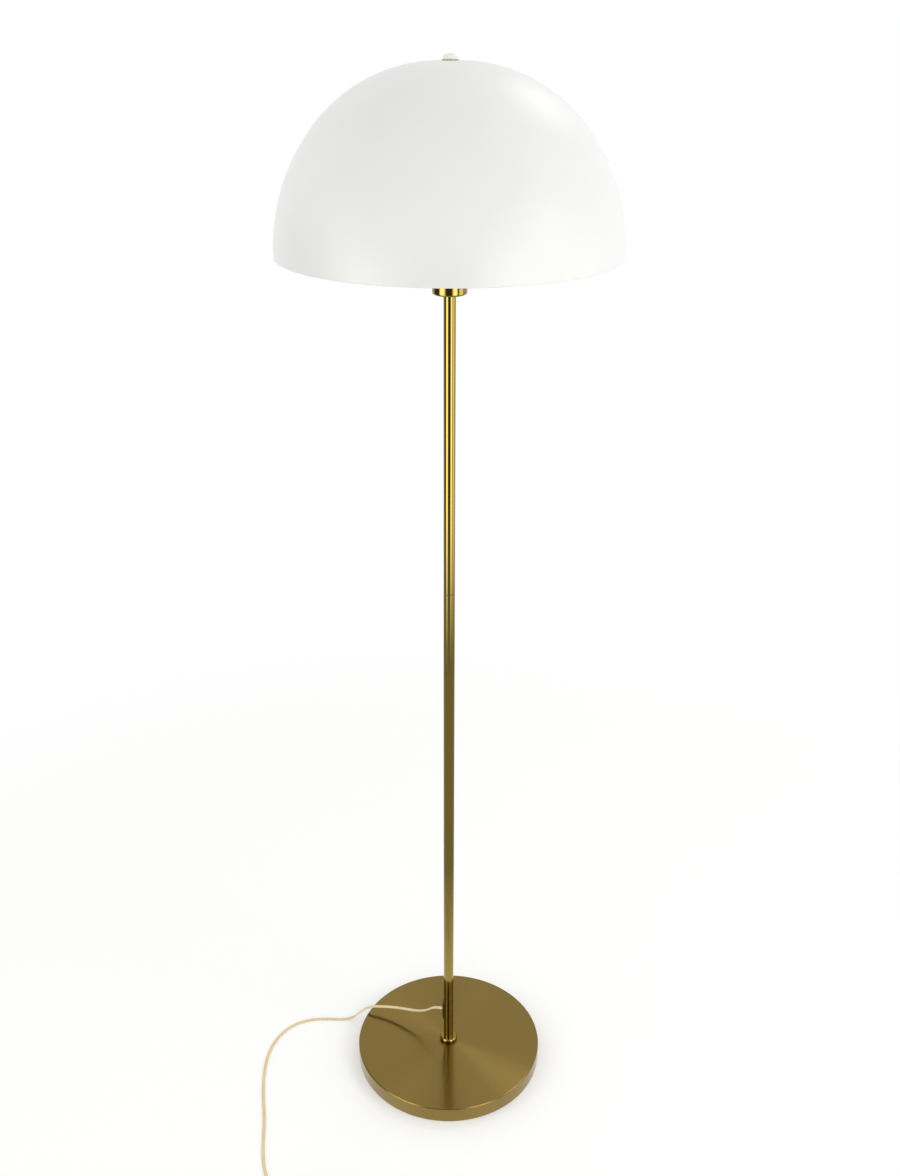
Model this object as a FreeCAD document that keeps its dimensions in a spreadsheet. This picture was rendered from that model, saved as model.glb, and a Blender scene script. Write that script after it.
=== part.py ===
"""Mushroom floor lamp: opal dome shade on a brass stem and a round brass foot.

Millimetres, +Z up. The origin is the middle of the foot, on the floor.
The stem stands on the Z axis. Seen from -Y, +X is to the right, and the cord
leaves the stem on the left. Each sub-part is one labelled object whose sizes
come from the sheet, and is written to parts/LABEL.step.
"""
import FreeCAD, Part
import math
import os
import re
import Sketcher
from types import SimpleNamespace
from FreeCAD import Placement, Rotation, Vector

# Driving dimensions: name, value in millimetres, degrees or a count.
SIZES = [
    # foot
    ("base_radius", 150.0), ("base_height", 26.0), ("cover_wall", 1.2), ("cover_lift", 1.0),
    ("cover_round", 2.0), ("felt_radius", 146.0), ("felt_thickness", 1.5),
    ("plate_radius", 147.5), ("plate_thickness", 2.0), ("plate_screw_circle", 143.3),
    ("plate_screw_count", 3), ("plate_screw_radius", 1.6), ("plate_screw_head", 3.6),
    ("plate_screw_length", 9.0), ("plate_screw_gap", 0.1), ("fit_gap", 0.05), ("weld", 2.0),
    ("weight_radius", 148.3), ("weight_disc", 10.0), ("weight_rim", 10.3),
    ("weight_hub_radius", 30.0), ("weight_hub_drop", 2.0), ("weight_rib_width", 8.0),
    ("weight_rib_drop", 7.0), ("weight_rib_count", 6), ("weight_edge", 1.0),
    # threaded lamp rod, 10 mm, and what goes on it
    ("rod_radius", 4.95), ("rod_bore", 4.0), ("thread_bore", 5.0), ("rod_hole", 5.2),
    ("rod_nut_flats", 14.0), ("rod_nut_height", 4.0), ("lock_washer_radius", 9.0),
    ("lock_washer_thickness", 1.0), ("lock_washer_teeth", 12), ("foot_washer_radius", 15.0),
    ("foot_washer_thickness", 2.0), ("bush_length", 18.0), ("rod_end", 1.0),
    # stem
    ("tube_radius", 8.0), ("tube_wall", 1.0), ("tube_joint", 850.0), ("tube_top", 1265.0),
    ("joint_gap", 0.3), ("tube_edge", 0.4), ("collar_height", 7.5),
    ("collar_shoulder", 11.8), ("collar_bead", 4.1), ("collar_gap", 0.15),
    # cord outlet in the lower tube
    ("outlet_height", 88.0), ("outlet_angle", 20.0), ("grommet_length", 43.0),
    ("grommet_width", 9.0), ("grommet_sweep", 80.0),
    ("grommet_stand", 2.3), ("grommet_taper", 10.0),
    ("grommet_edge", 0.4),
    ("outlet_slot_length", 36.0), ("outlet_slot_width", 6.8), ("outlet_slot_gap", 0.1),
    ("cord_radius", 2.6), ("cord_hole", 2.85), ("cable_radius", 2.4), ("cable_bend", 7.0),
    ("cable_reach", 0.5), ("cable_top", 15.5), ("core_radius", 0.9), ("core_pitch", 2.4),
    ("core_rise", 2.0), ("core_bend", 1.0),
    # lampholder, for a 27 mm screw bulb
    ("cup_radius", 22.5), ("cup_height", 52.0), ("cup_wall", 1.0), ("cup_round", 3.0),
    ("cup_nut_height", 3.5), ("cup_nut_room", 0.5),
    ("holder_radius", 19.5), ("holder_wall", 2.0), ("holder_neck", 8.0),
    ("holder_neck_height", 5.0), ("holder_cap_height", 21.0), ("holder_sleeve_height", 38.0),
    ("insert_height", 6.0), ("shell_radius", 13.3), ("shell_wall", 0.4), ("shell_height", 24.0),
    ("shell_lift", 0.3), ("tongue_width", 5.0), ("tongue_length", 15.0),
    ("tongue_thickness", 0.5), ("tongue_nose", 1.6), ("terminal_offset", 10.0),
    ("terminal_radius", 2.4),
    # shade carrier
    ("carrier_ring_radius", 32.0), ("carrier_ring_thickness", 1.5), ("ring_nut_radius", 26.0),
    ("ring_nut_height", 7.0), ("ring_nut_notches", 24), ("ring_nut_notch", 1.2),
    ("arm_radius", 2.0), ("arm_foot", 29.0), ("arm_bow", 46.0), ("arm_head", 14.0),
    ("arm_corner", 22.0), ("arm_rise", 14.0), ("arm_spread", 34.0), ("arm_fall", 36.0),
    ("carrier_disc_radius", 25.0), ("carrier_disc_thickness", 2.0), ("stud_radius", 4.0),
    ("stud_nut_flats", 13.0), ("stud_nut_height", 5.0), ("stud_above_shade", 6.0),
    ("stud_tail", 2.0), ("washer_gap", 0.2),
    ("soft_washer_thickness", 1.5), ("soft_washer_radius", 12.0),
    # shade
    ("shade_radius", 217.5), ("shade_height", 221.5), ("shade_rim_height", 1314.0),
    ("shade_wall", 3.0), ("shade_flat", 12.0), ("shade_shoulder", 197.0), ("shade_hole", 4.5),
    ("shade_rim_round", 1.0),
    # finial
    ("washer_radius", 10.0), ("washer_thickness", 1.0), ("knob_radius", 8.75),
    ("knob_height", 7.0), ("knob_wall_height", 3.6), ("knob_dome", 13.0), ("knob_insert", 5.6),
    ("knob_thread", 4.1), ("knob_thread_depth", 5.6), ("knob_round", 1.4),
    # bulb
    ("bulb_contact_radius", 4.5), ("bulb_contact_height", 1.6), ("bulb_seat", 1300.6),
    ("contact_bevel", 1.0), ("insulator_radius", 8.6), ("insulator_height", 2.4),
    ("bulb_cap_radius", 13.0), ("bulb_cap_height", 25.0), ("bulb_cap_taper", 4.0),
    ("bulb_cap_wall", 0.3), ("bulb_neck", 14.0), ("bulb_flare", 1.0), ("bulb_round", 30.0),
    ("bulb_round_height", 48.0), ("bulb_shoulder", 28.08), ("bulb_shoulder_height", 37.44),
    ("glass_wall", 0.8), ("cap_lap", 5.0),
    # foot switch on the cord
    ("switch_length", 68.0), ("switch_width", 32.0), ("switch_low", 7.0), ("switch_high", 11.0),
    ("switch_wall", 2.0), ("switch_round", 4.0), ("button_radius", 9.0), ("button_gap", 0.35),
    ("button_height", 8.0), ("button_flange", 10.5), ("button_flange_height", 1.6),
    ("button_slack", 0.4), ("button_dish", 30.0), ("button_rim", 1.2), ("button_hollow", 1.0),
    ("spring_radius", 5.5), ("spring_wire", 0.45), ("spring_turns", 5),
    ("switch_post_along", 23.0), ("switch_post_across", 7.0), ("switch_post_radius", 4.0),
    ("switch_screw_radius", 1.4), ("switch_screw_head", 2.6), ("switch_screw_sink", 2.0),
    ("switch_screw_grip", 5.0), ("strip_offset", 14.0), ("strip_length", 10.0),
    ("strip_width", 4.0), ("strip_height", 3.0),
    # plug with two round pins
    ("plug_length", 36.0), ("plug_width", 35.3), ("plug_thickness", 13.7), ("plug_tail", 14.0),
    ("plug_nose", 15.0), ("plug_round", 3.0), ("boot_length", 24.0), ("boot_radius", 5.2),
    ("boot_wall", 1.0),
    ("pin_pitch", 18.6), ("pin_radius", 2.0), ("pin_length", 19.0), ("pin_sleeve", 10.0),
    ("pin_core", 1.6), ("sleeve_radius", 1.8),
    # coil of spare cord
    ("coil_layer_turns", 4), ("coil_pitch", 6.6), ("coil_inner", 18.0), ("coil_lift", 3.75),
    ("tie_gap", 0.35), ("tie_thickness", 0.7), ("tie_width", 6.0),
]

# Where the cord goes once it has left the stem: points that turn it, chosen by eye.
# From the grommet it falls back and left over the edge of the foot to the floor,
# swings round to the front and ends in the foot switch.
CORD_ROUTE = [
    (-8.0, 2.9, 88.0), (-23.0, 8.36, 88.0), (-37.0, 17.0, 69.5), (-55.5, 32.0, 54.5),
    (-76.0, 43.5, 48.5), (-97.0, 52.5, 43.5), (-117.0, 58.0, 39.5), (-137.5, 61.0, 36.6),
    (-155.5, 66.0, 17.5), (-168.0, 69.5, 2.9), (-188.0, 67.0, 2.8), (-210.0, 68.5, 2.8),
    (-240.0, 67.0, 2.8), (-270.0, 53.0, 2.8), (-292.0, 25.0, 2.8), (-303.0, -12.0, 2.8),
    (-304.0, -55.0, 2.8), (-299.0, -100.0, 2.8), (-290.5, -145.0, 2.8), (-286.5, -190.0, 2.8),
    (-281.0, -230.0, 2.8), (-269.5, -263.5, 2.8), (-250.0, -284.0, 4.5), (-231.0, -290.0, 7.0),
    (-213.5, -290.0, 7.0),
]
# From the foot switch to the coil, and from the coil into the boot of the plug.
LINK_ROUTE = [
    (-148.5, -290.0, 7.0), (-136.0, -290.0, 7.0), (-122.0, -290.2, 3.75), (-108.0, -290.0, 3.75),
]
TAIL_ROUTE = [
    (-108.0, -293.3, 10.35), (-95.0, -293.3, 10.35), (-80.5, -293.6, 8.2), (-66.0, -293.3, 6.85),
    (-50.5, -293.3, 6.85),
]
COIL_CENTRE = (-108.0, -334.4)
SWITCH_CENTRE = (-181.0, -290.0)
PLUG_BOOT_START = (-52.0, -293.3)

ARC_SHARE = 0.45        # of the shorter run beside a turn, taken by its arc
COIL_LEAST_GAP = 0.4    # the turns never come closer than this


class Size:
    """A length with its value and the sheet expression that gives it."""

    def __init__(self, value, text):
        self.value = float(value)
        self.text = text

    def __float__(self):
        return self.value

    def __add__(self, other):
        return Size(self.value + float(other), f"({self.text} + {written(other)})")

    def __radd__(self, other):
        return Size(float(other) + self.value, f"({written(other)} + {self.text})")

    def __sub__(self, other):
        return Size(self.value - float(other), f"({self.text} - {written(other)})")

    def __rsub__(self, other):
        return Size(float(other) - self.value, f"({written(other)} - {self.text})")

    def __mul__(self, other):
        return Size(self.value * float(other), f"({self.text} * {written(other)})")

    __rmul__ = __mul__

    def __truediv__(self, other):
        return Size(self.value / float(other), f"({self.text} / {written(other)})")

    def __neg__(self):
        return Size(-self.value, f"(0 - {self.text})")


def written(amount):
    """The amount as text for a sheet expression."""
    if isinstance(amount, Size):
        return amount.text
    return f"{float(amount):g}"


doc = FreeCAD.newDocument("MushroomFloorLamp")
sheet = doc.addObject("Spreadsheet::Sheet", "Sizes")
for row, (alias, value) in enumerate(SIZES, start=1):
    sheet.set(f"A{row}", str(value))
    sheet.setAlias(f"A{row}", alias)
doc.recompute()
dim = SimpleNamespace(**{alias: Size(sheet.get(alias), f"Sizes.{alias}") for alias, _ in SIZES})
sub_parts = []


# ---------------------------------------------------------------- helpers

def bind(thing, name, amount):
    """Ties a property of an object to the sheet."""
    thing.setExpression(name, written(amount))


def place(thing, x=0.0, y=0.0, z=0.0):
    """Puts an object at a point whose coordinates follow the sheet."""
    for axis, amount in (("x", x), ("y", y), ("z", z)):
        if isinstance(amount, Size) or amount:
            bind(thing, f"Placement.Base.{axis}", amount)


def keep(thing, label):
    """Labels a finished sub-part and puts it on the list to be written."""
    thing.Label = label
    sub_parts.append(thing)
    return thing


def new_body(label):
    """An empty body, kept as a sub-part under its label."""
    return keep(doc.addObject("PartDesign::Body", label + "_body"), label)


def origin_plane(body, role):
    """One of the body's own origin planes or axes, found by its role."""
    return next(item for item in body.Origin.OriginFeatures if item.Role == role)


def new_sketch(body, role, lift=0.0):
    """A sketch on an origin plane of the body, moved along the plane's normal."""
    name = f"{body.Name}_sketch{len(body.Group)}"
    sketch = body.newObject("Sketcher::SketchObject", name)
    sketch.AttachmentSupport = [(origin_plane(body, role), "")]
    sketch.MapMode = "FlatFace"
    if isinstance(lift, Size) or lift:
        bind(sketch, "AttachmentOffset.Base.z", lift)
    return sketch


def hold(sketch, kind, *where, amount):
    """Adds a dimension to a sketch and ties it to the sheet."""
    index = sketch.addConstraint(Sketcher.Constraint(kind, *where, float(amount)))
    bind(sketch, f"Constraints[{index}]", amount)


def pin_point(sketch, edge, end, x, y):
    """Fixes one end of a sketch edge at (x, y) from the sketch's origin."""
    for kind, amount, axis in (("DistanceX", x, -2), ("DistanceY", y, -1)):
        if isinstance(amount, Size) or amount:
            hold(sketch, kind, -1, 1, edge, end, amount=amount)
        else:
            sketch.addConstraint(Sketcher.Constraint("PointOnObject", edge, end, axis))


def arc_between(start, end, radius, side):
    """An arc from start to end, bowed to the left of travel for side 1, right for -1."""
    chord = end - start
    normal = Vector(-chord.y, chord.x, 0).normalize() * side
    depth = math.sqrt(max(radius ** 2 - (chord.Length / 2) ** 2, 0.0))
    centre = (start + end) / 2 - normal * depth
    angles = [math.atan2(point.y - centre.y, point.x - centre.x) for point in (start, end)]
    if side > 0:
        angles.reverse()
    return Part.ArcOfCircle(Part.Circle(centre, Vector(0, 0, 1), radius), *angles)


def draw_outline(sketch, corners):
    """Draws a closed outline. A corner is (x, y), or (x, y, radius, side) where an arc follows."""
    points = [Vector(float(corner[0]), float(corner[1]), 0) for corner in corners]
    ends = []
    for index, corner in enumerate(corners):
        start = points[index]
        end = points[(index + 1) % len(points)]
        if len(corner) == 2:
            edge = sketch.addGeometry(Part.LineSegment(start, end))
            ends.append((edge, 1, 2))
        else:
            radius, side = corner[2:]
            edge = sketch.addGeometry(arc_between(start, end, float(radius), side))
            chord = end - start
            if chord.Length / 2 > float(radius) - 1e-6:
                level = "Horizontal" if abs(chord.x) > abs(chord.y) else "Vertical"
                sketch.addConstraint(Sketcher.Constraint(level, edge, 3, edge, 1))
            else:
                hold(sketch, "Radius", edge, amount=radius)
            ends.append((edge, 2, 1) if side > 0 else (edge, 1, 2))
    for index, (edge, first, last) in enumerate(ends):
        follower, follower_first, _ = ends[(index + 1) % len(ends)]
        sketch.addConstraint(Sketcher.Constraint("Coincident", edge, last, follower, follower_first))
        pin_point(sketch, edge, first, *corners[index][:2])


def turned(label, corners, z=0.0):
    """A body turned about Z from an outline in the XZ plane."""
    body = new_body(label)
    sketch = new_sketch(body, "XZ_Plane")
    draw_outline(sketch, corners)
    feature = body.newObject("PartDesign::Revolution", label + "_turning")
    feature.Profile = sketch
    feature.ReferenceAxis = (sketch, ["V_Axis"])
    feature.Angle = 360.0
    place(body, z=z)
    return body


def ring_outline(inner, outer, low, high):
    """The outline of a plain ring or washer."""
    return [(inner, low), (outer, low), (outer, high), (inner, high)]


def round_rings(body, rings, radius, kind="Fillet"):
    """Rounds or bevels the circular edges that lie at the given (radius, height) pairs."""
    doc.recompute()
    names = []
    for index, edge in enumerate(body.Tip.Shape.Edges, start=1):
        if edge.Degenerated or not isinstance(edge.Curve, Part.Circle):
            continue
        for ring_radius, height in rings:
            circle = edge.Curve
            miss = abs(circle.Radius - float(ring_radius)) + abs(circle.Center.z - float(height))
            if miss < 0.01:
                names.append(f"Edge{index}")
    base = body.Tip
    feature = body.newObject(f"PartDesign::{kind}", f"{body.Name}_{kind}{len(body.Group)}")
    feature.Base = (base, names)
    bind(feature, "Radius" if kind == "Fillet" else "Size", radius)


def draw_circle(sketch, radius, x=0.0, y=0.0):
    """Draws a circle of a given radius at a point."""
    centre = Vector(float(x), float(y), 0)
    edge = sketch.addGeometry(Part.Circle(centre, Vector(0, 0, 1), float(radius)))
    hold(sketch, "Radius", edge, amount=radius)
    pin_point(sketch, edge, 3, x, y)


def draw_box(sketch, width, height, x=0.0, y=0.0):
    """Draws a rectangle about a point."""
    draw_outline(sketch, [(x - width / 2, y - height / 2), (x + width / 2, y - height / 2),
                          (x + width / 2, y + height / 2), (x - width / 2, y + height / 2)])


def draw_slot(sketch, length, width):
    """Draws a slot along the sketch's first axis, with half-round ends."""
    reach = length / 2 - width / 2
    half = width / 2
    draw_outline(sketch, [(-reach, -half), (reach, -half, half, -1),
                          (reach, half), (-reach, half, half, -1)])


def draw_upright_slot(sketch, length, width, y=0.0):
    """Draws a slot along the sketch's second axis, its middle at height y."""
    reach = length / 2 - width / 2
    half = width / 2
    draw_outline(sketch, [(half, y - reach), (half, y + reach, half, -1),
                          (-half, y + reach), (-half, y - reach, half, -1)])


def padded(body, sketch, length, both_ways=False):
    """Adds material from a sketch, up its normal or half each way."""
    feature = body.newObject("PartDesign::Pad", f"{body.Name}_pad{len(body.Group)}")
    feature.Profile = sketch
    bind(feature, "Length", length)
    feature.Midplane = both_ways
    return feature


def pocketed(body, sketch, length, upward=False, both_ways=False):
    """Cuts material with a sketch, down its normal, up it, or half each way."""
    before = volume_now(body)
    feature = body.newObject("PartDesign::Pocket", f"{body.Name}_pocket{len(body.Group)}")
    feature.Profile = sketch
    bind(feature, "Length", length)
    feature.Reversed = upward
    feature.Midplane = both_ways
    if volume_now(body) > before - 0.01:
        raise RuntimeError(f"{feature.Name} cuts nothing")
    return feature


def volume_now(body):
    """The body's volume after a recompute."""
    doc.recompute()
    return body.Shape.Volume


def repeated(body, feature, count):
    """Repeats a feature round the body's Z axis."""
    pattern = body.newObject("PartDesign::PolarPattern", f"{feature.Name}_pattern")
    pattern.Originals = [feature]
    pattern.Axis = (origin_plane(body, "Z_Axis"), [""])
    pattern.Angle = 360.0
    bind(pattern, "Occurrences", count)
    body.Tip = pattern


def hex_nut(label, flats, height, bore, z):
    """A plain hexagon nut on the Z axis."""
    block = doc.addObject("Part::Prism", label + "_block")
    block.Polygon = 6
    bind(block, "Circumradius", flats / math.sqrt(3.0))
    bind(block, "Height", height)
    hole = doc.addObject("Part::Cylinder", label + "_hole")
    bind(hole, "Radius", bore)
    bind(hole, "Height", height)
    nut = doc.addObject("Part::Cut", label + "_cut")
    nut.Base = block
    nut.Tool = hole
    place(nut, z=z)
    return keep(nut, label)


def toothed_washer(label, z):
    """A lock washer for the lamp rod, with notches round its bore."""
    body = turned(label, ring_outline(dim.rod_hole, dim.lock_washer_radius,
                                      0, dim.lock_washer_thickness), z)
    sketch = new_sketch(body, "XY_Plane", dim.lock_washer_thickness)
    notch = dim.lock_washer_radius - dim.rod_hole
    draw_box(sketch, notch, notch / 4, x=dim.rod_hole + notch / 8)
    repeated(body, pocketed(body, sketch, dim.lock_washer_thickness), dim.lock_washer_teeth)


def rod_nipple(label, low, high):
    """A length of hollow threaded lamp rod."""
    turned(label, ring_outline(dim.rod_bore, dim.rod_radius, 0, high - low), low)


def tube_bush(label, low):
    """A threaded bush that closes one end of a stem tube."""
    outer = dim.tube_radius - dim.tube_wall - dim.fit_gap
    turned(label, ring_outline(dim.thread_bore, outer, 0, dim.bush_length), low)


def fused(parts, label):
    """One solid made of several overlapping primitives."""
    union = doc.addObject("Part::MultiFuse", label)
    union.Shapes = parts
    return union


def cylinder(name, radius, height, x=0.0, y=0.0, z=0.0, along=None):
    """A cylinder from a point, along Z or another direction."""
    thing = doc.addObject("Part::Cylinder", name)
    bind(thing, "Radius", radius)
    bind(thing, "Height", height)
    if along:
        thing.Placement = Placement(Vector(0, 0, 0), Rotation(Vector(0, 0, 1), Vector(*along)))
    place(thing, x, y, z)
    return thing


def cone(name, low_radius, high_radius, height, x=0.0, y=0.0, z=0.0):
    """A cone along Z from a point."""
    thing = doc.addObject("Part::Cone", name)
    bind(thing, "Radius1", low_radius)
    bind(thing, "Radius2", high_radius)
    bind(thing, "Height", height)
    place(thing, x, y, z)
    return thing


def group(label, things):
    """Several separate solids kept as one sub-part."""
    compound = doc.addObject("Part::Compound", label + "_group")
    compound.Links = things
    return keep(compound, label)


def shape_part(label, shape):
    """A sub-part whose shape is made directly from the sheet's numbers."""
    thing = doc.addObject("Part::Feature", label + "_shape")
    thing.Shape = shape
    return keep(thing, label)


# ---------------------------------------------------------------- swept paths

def rounded_wire(points, label, radius=None):
    """Straight runs through the points, joined by arcs as large as the runs allow."""
    corners = [Vector(*point) for point in points]
    edges = []
    radii = []
    last = corners[0]
    for before, corner, after in zip(corners, corners[1:], corners[2:]):
        back = before - corner
        ahead = after - corner
        turn = math.pi - back.getAngle(ahead)
        bend = radius or ARC_SHARE * min(back.Length, ahead.Length) / math.tan(turn / 2)
        cut = bend * math.tan(turn / 2)
        radii.append(bend)
        back.normalize()
        ahead.normalize()
        start = corner + back * cut
        end = corner + ahead * cut
        inward = (back + ahead).normalize()
        middle = corner + inward * (bend / math.cos(turn / 2) - bend)
        edges.append(Part.LineSegment(last, start).toShape())
        edges.append(Part.Arc(start, middle, end).toShape())
        last = end
    edges.append(Part.LineSegment(last, corners[-1]).toShape())
    print(f"{label}: bend radii", " ".join(f"{bend:.0f}" for bend in radii))
    return Part.Wire(edges)


def swept(label, wire, radius):
    """A round tube along a wire, with its volume checked against its length."""
    first = wire.OrderedEdges[0]
    start = first.valueAt(first.FirstParameter)
    ahead = first.tangentAt(first.FirstParameter)
    section = Part.Wire([Part.Circle(start, ahead, radius).toShape()])
    tube = wire.makePipeShell([section], True, False)
    solid = tube.Solids[0]
    expected = math.pi * radius ** 2 * wire.Length
    print(f"{label}: length {wire.Length:.1f}, volume {solid.Volume:.0f} of {expected:.0f}")
    if abs(solid.Volume / expected - 1) > 0.01:
        raise RuntimeError(f"{label} has the wrong volume")
    return solid


def biarc(start, start_way, end, end_way):
    """Two arcs that leave start and reach end in the given directions."""
    gap = end - start
    ways = start_way + end_way
    a = 2 * (1 - start_way.dot(end_way))
    b = 2 * gap.dot(ways)
    c = -gap.dot(gap)
    reach = (-b + math.sqrt(b * b - 4 * a * c)) / (2 * a) if a > 1e-9 else -c / b
    knee_start = start + start_way * reach
    knee_end = end - end_way * reach
    joint = (knee_start + knee_end) / 2
    return [arc_through(start, knee_start, joint), arc_through(joint, knee_end, end)]


def arc_through(start, knee, end):
    """The arc that is tangent at its ends to the two equal lines that meet at knee."""
    half_turn = (math.pi - (start - knee).getAngle(end - knee)) / 2
    middle = (start + end) / 2
    share = math.tan(half_turn / 2) / math.tan(half_turn)
    return Part.Arc(start, middle + (knee - middle) * share, end).toShape()


# ---------------------------------------------------------------- foot

cover_inside = dim.base_height - dim.cover_wall
plate_low = dim.felt_thickness
plate_high = dim.felt_thickness + dim.plate_thickness
weight_under = cover_inside - dim.weight_disc
hub_under = weight_under - dim.weight_hub_drop
foot_lock_low = hub_under - dim.foot_washer_thickness - dim.lock_washer_thickness
foot_nut_low = foot_lock_low - dim.rod_nut_height


def make_felt_pad():
    """Round felt that the lamp stands on."""
    turned("felt_pad", [(0, 0), (dim.felt_radius, 0), (dim.felt_radius, dim.felt_thickness),
                        (0, dim.felt_thickness)])


def make_bottom_plate():
    """Steel plate under the weight, with three countersunk holes."""
    body = turned("bottom_plate", [(0, 0), (dim.plate_radius, 0),
                                   (dim.plate_radius, dim.plate_thickness),
                                   (0, dim.plate_thickness)], plate_low)
    sketch = new_sketch(body, "XZ_Plane")
    low = dim.plate_screw_head + dim.plate_screw_gap
    high = dim.plate_screw_radius + dim.plate_screw_gap
    centre = dim.plate_screw_circle
    draw_outline(sketch, [(centre, 0), (centre + low, 0), (centre + high, dim.plate_thickness),
                          (centre, dim.plate_thickness)])
    before = volume_now(body)
    feature = body.newObject("PartDesign::Groove", "countersink")
    feature.Profile = sketch
    feature.ReferenceAxis = (sketch, ["Edge4"])
    feature.Angle = 360.0
    if volume_now(body) > before - 0.01:
        raise RuntimeError("the countersink cuts nothing")
    repeated(body, feature, dim.plate_screw_count)


def screw_places(count, circle):
    """Sheet-bound positions spaced evenly round the Z axis, the first on +X."""
    steps = [2 * math.pi * index / int(float(count)) for index in range(int(float(count)))]
    return [(circle * round(math.cos(step), 9), circle * round(math.sin(step), 9)) for step in steps]


def make_plate_screws():
    """Three countersunk screws that hold the plate to the weight's rim."""
    screws = []
    for index, (x, y) in enumerate(screw_places(dim.plate_screw_count, dim.plate_screw_circle)):
        head = cone(f"plate_screw_head{index}", dim.plate_screw_head, dim.plate_screw_radius,
                    dim.plate_thickness, x, y, plate_low)
        shank = cylinder(f"plate_screw_shank{index}", dim.plate_screw_radius,
                         dim.plate_screw_length, x, y, plate_low)
        screws.append(fused([head, shank], f"plate_screw{index}"))
    group("plate_screws", screws)


def make_base_weight():
    """Cast iron weight: a disc with a rim, a hub and ribs on its underside."""
    high = cover_inside - plate_high
    web = high - dim.weight_disc
    body = turned("base_weight", [
        (dim.rod_hole, web - dim.weight_hub_drop),
        (dim.weight_hub_radius, web - dim.weight_hub_drop), (dim.weight_hub_radius, web),
        (dim.weight_radius - dim.weight_rim, web), (dim.weight_radius - dim.weight_rim, 0),
        (dim.weight_radius, 0), (dim.weight_radius, high), (dim.rod_hole, high)], plate_high)
    sketch = new_sketch(body, "XY_Plane", web - dim.weight_rib_drop)
    rib_start = dim.weight_hub_radius - dim.weld * 2
    rib_end = dim.weight_radius - dim.weight_rim + dim.weld
    half = dim.weight_rib_width / 2
    draw_outline(sketch, [(rib_start, -half), (rib_end, -half), (rib_end, half),
                          (rib_start, half)])
    repeated(body, padded(body, sketch, dim.weight_rib_drop + dim.weld), dim.weight_rib_count)
    holes = new_sketch(body, "XY_Plane")
    draw_circle(holes, dim.plate_screw_radius + dim.fit_gap, x=dim.plate_screw_circle)
    cut = pocketed(body, holes, dim.plate_screw_length, upward=True)
    repeated(body, cut, dim.plate_screw_count)
    round_rings(body, [(dim.weight_radius, high)], dim.weight_edge, "Chamfer")


def make_base_cover():
    """Spun brass cover: a flat disc with a rounded edge and a short wall."""
    wall = dim.base_radius - dim.cover_wall
    high = dim.base_height - dim.cover_lift
    body = turned("base_cover", [
        (dim.rod_hole, high - dim.cover_wall), (wall, high - dim.cover_wall), (wall, 0),
        (dim.base_radius, 0), (dim.base_radius, high), (dim.rod_hole, high)], dim.cover_lift)
    round_rings(body, [(dim.base_radius, high)], dim.cover_round)
    round_rings(body, [(wall, high - dim.cover_wall)], dim.cover_round - dim.cover_wall)


def make_foot_fixings():
    """Nipple, washer, lock washer and nut that clamp the stem to the foot."""
    rod_nipple("foot_nipple", foot_nut_low - dim.rod_end,
               dim.base_height + dim.bush_length - dim.rod_end)
    turned("foot_washer", ring_outline(dim.rod_hole, dim.foot_washer_radius,
                                       0, dim.foot_washer_thickness),
           hub_under - dim.foot_washer_thickness)
    toothed_washer("foot_lock_washer", foot_lock_low)
    hex_nut("foot_nut", dim.rod_nut_flats, dim.rod_nut_height, dim.thread_bore, foot_nut_low)


def make_foot_collar():
    """Polished round bead that the stem stands in."""
    bore = dim.tube_radius + dim.collar_gap
    turned("foot_collar", [(bore, 0), (dim.collar_shoulder, 0, dim.collar_bead, -1),
                           (dim.collar_shoulder, dim.collar_height), (bore, dim.collar_height)],
           dim.base_height)


# ---------------------------------------------------------------- stem

lower_top = dim.tube_joint - dim.joint_gap / 2
upper_low = dim.tube_joint + dim.joint_gap / 2


def make_lower_tube():
    """Lower stem tube, with the slot that the cord comes out of."""
    inner = dim.tube_radius - dim.tube_wall
    body = turned("lower_tube", ring_outline(inner, dim.tube_radius, 0,
                                             lower_top - dim.base_height), dim.base_height)
    sketch = new_sketch(body, "YZ_Plane", -dim.tube_radius - dim.tube_wall)
    draw_upright_slot(sketch, dim.outlet_slot_length, dim.outlet_slot_width,
                      dim.outlet_height - dim.base_height)
    pocketed(body, sketch, dim.tube_radius, upward=True)
    round_rings(body, [(dim.tube_radius, lower_top - dim.base_height)], dim.tube_edge, "Chamfer")
    turn_outlet(body)


def turn_outlet(thing):
    """Turns a piece made facing -X to the side where the cord leaves."""
    thing.Placement.Rotation = Rotation(Vector(0, 0, 1), -float(dim.outlet_angle))
    bind(thing, "Placement.Rotation.Angle", -dim.outlet_angle)


def make_upper_tube():
    """Upper stem tube, up to the holder cup."""
    inner = dim.tube_radius - dim.tube_wall
    body = turned("upper_tube", ring_outline(inner, dim.tube_radius, 0,
                                             dim.tube_top - upper_low), upper_low)
    round_rings(body, [(dim.tube_radius, 0)], dim.tube_edge, "Chamfer")


def make_stem_joints():
    """Bushes in the tube ends and the nipples screwed into them."""
    tube_bush("foot_bush", dim.base_height)
    tube_bush("lower_joint_bush", lower_top - dim.bush_length)
    tube_bush("upper_joint_bush", upper_low)
    tube_bush("head_bush", dim.tube_top - dim.bush_length)
    reach = dim.bush_length - dim.rod_end
    rod_nipple("joint_nipple", dim.tube_joint - reach, dim.tube_joint + reach)
    rod_nipple("head_nipple", dim.tube_top - reach,
               holder_low + dim.holder_neck_height + dim.holder_wall)


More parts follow.
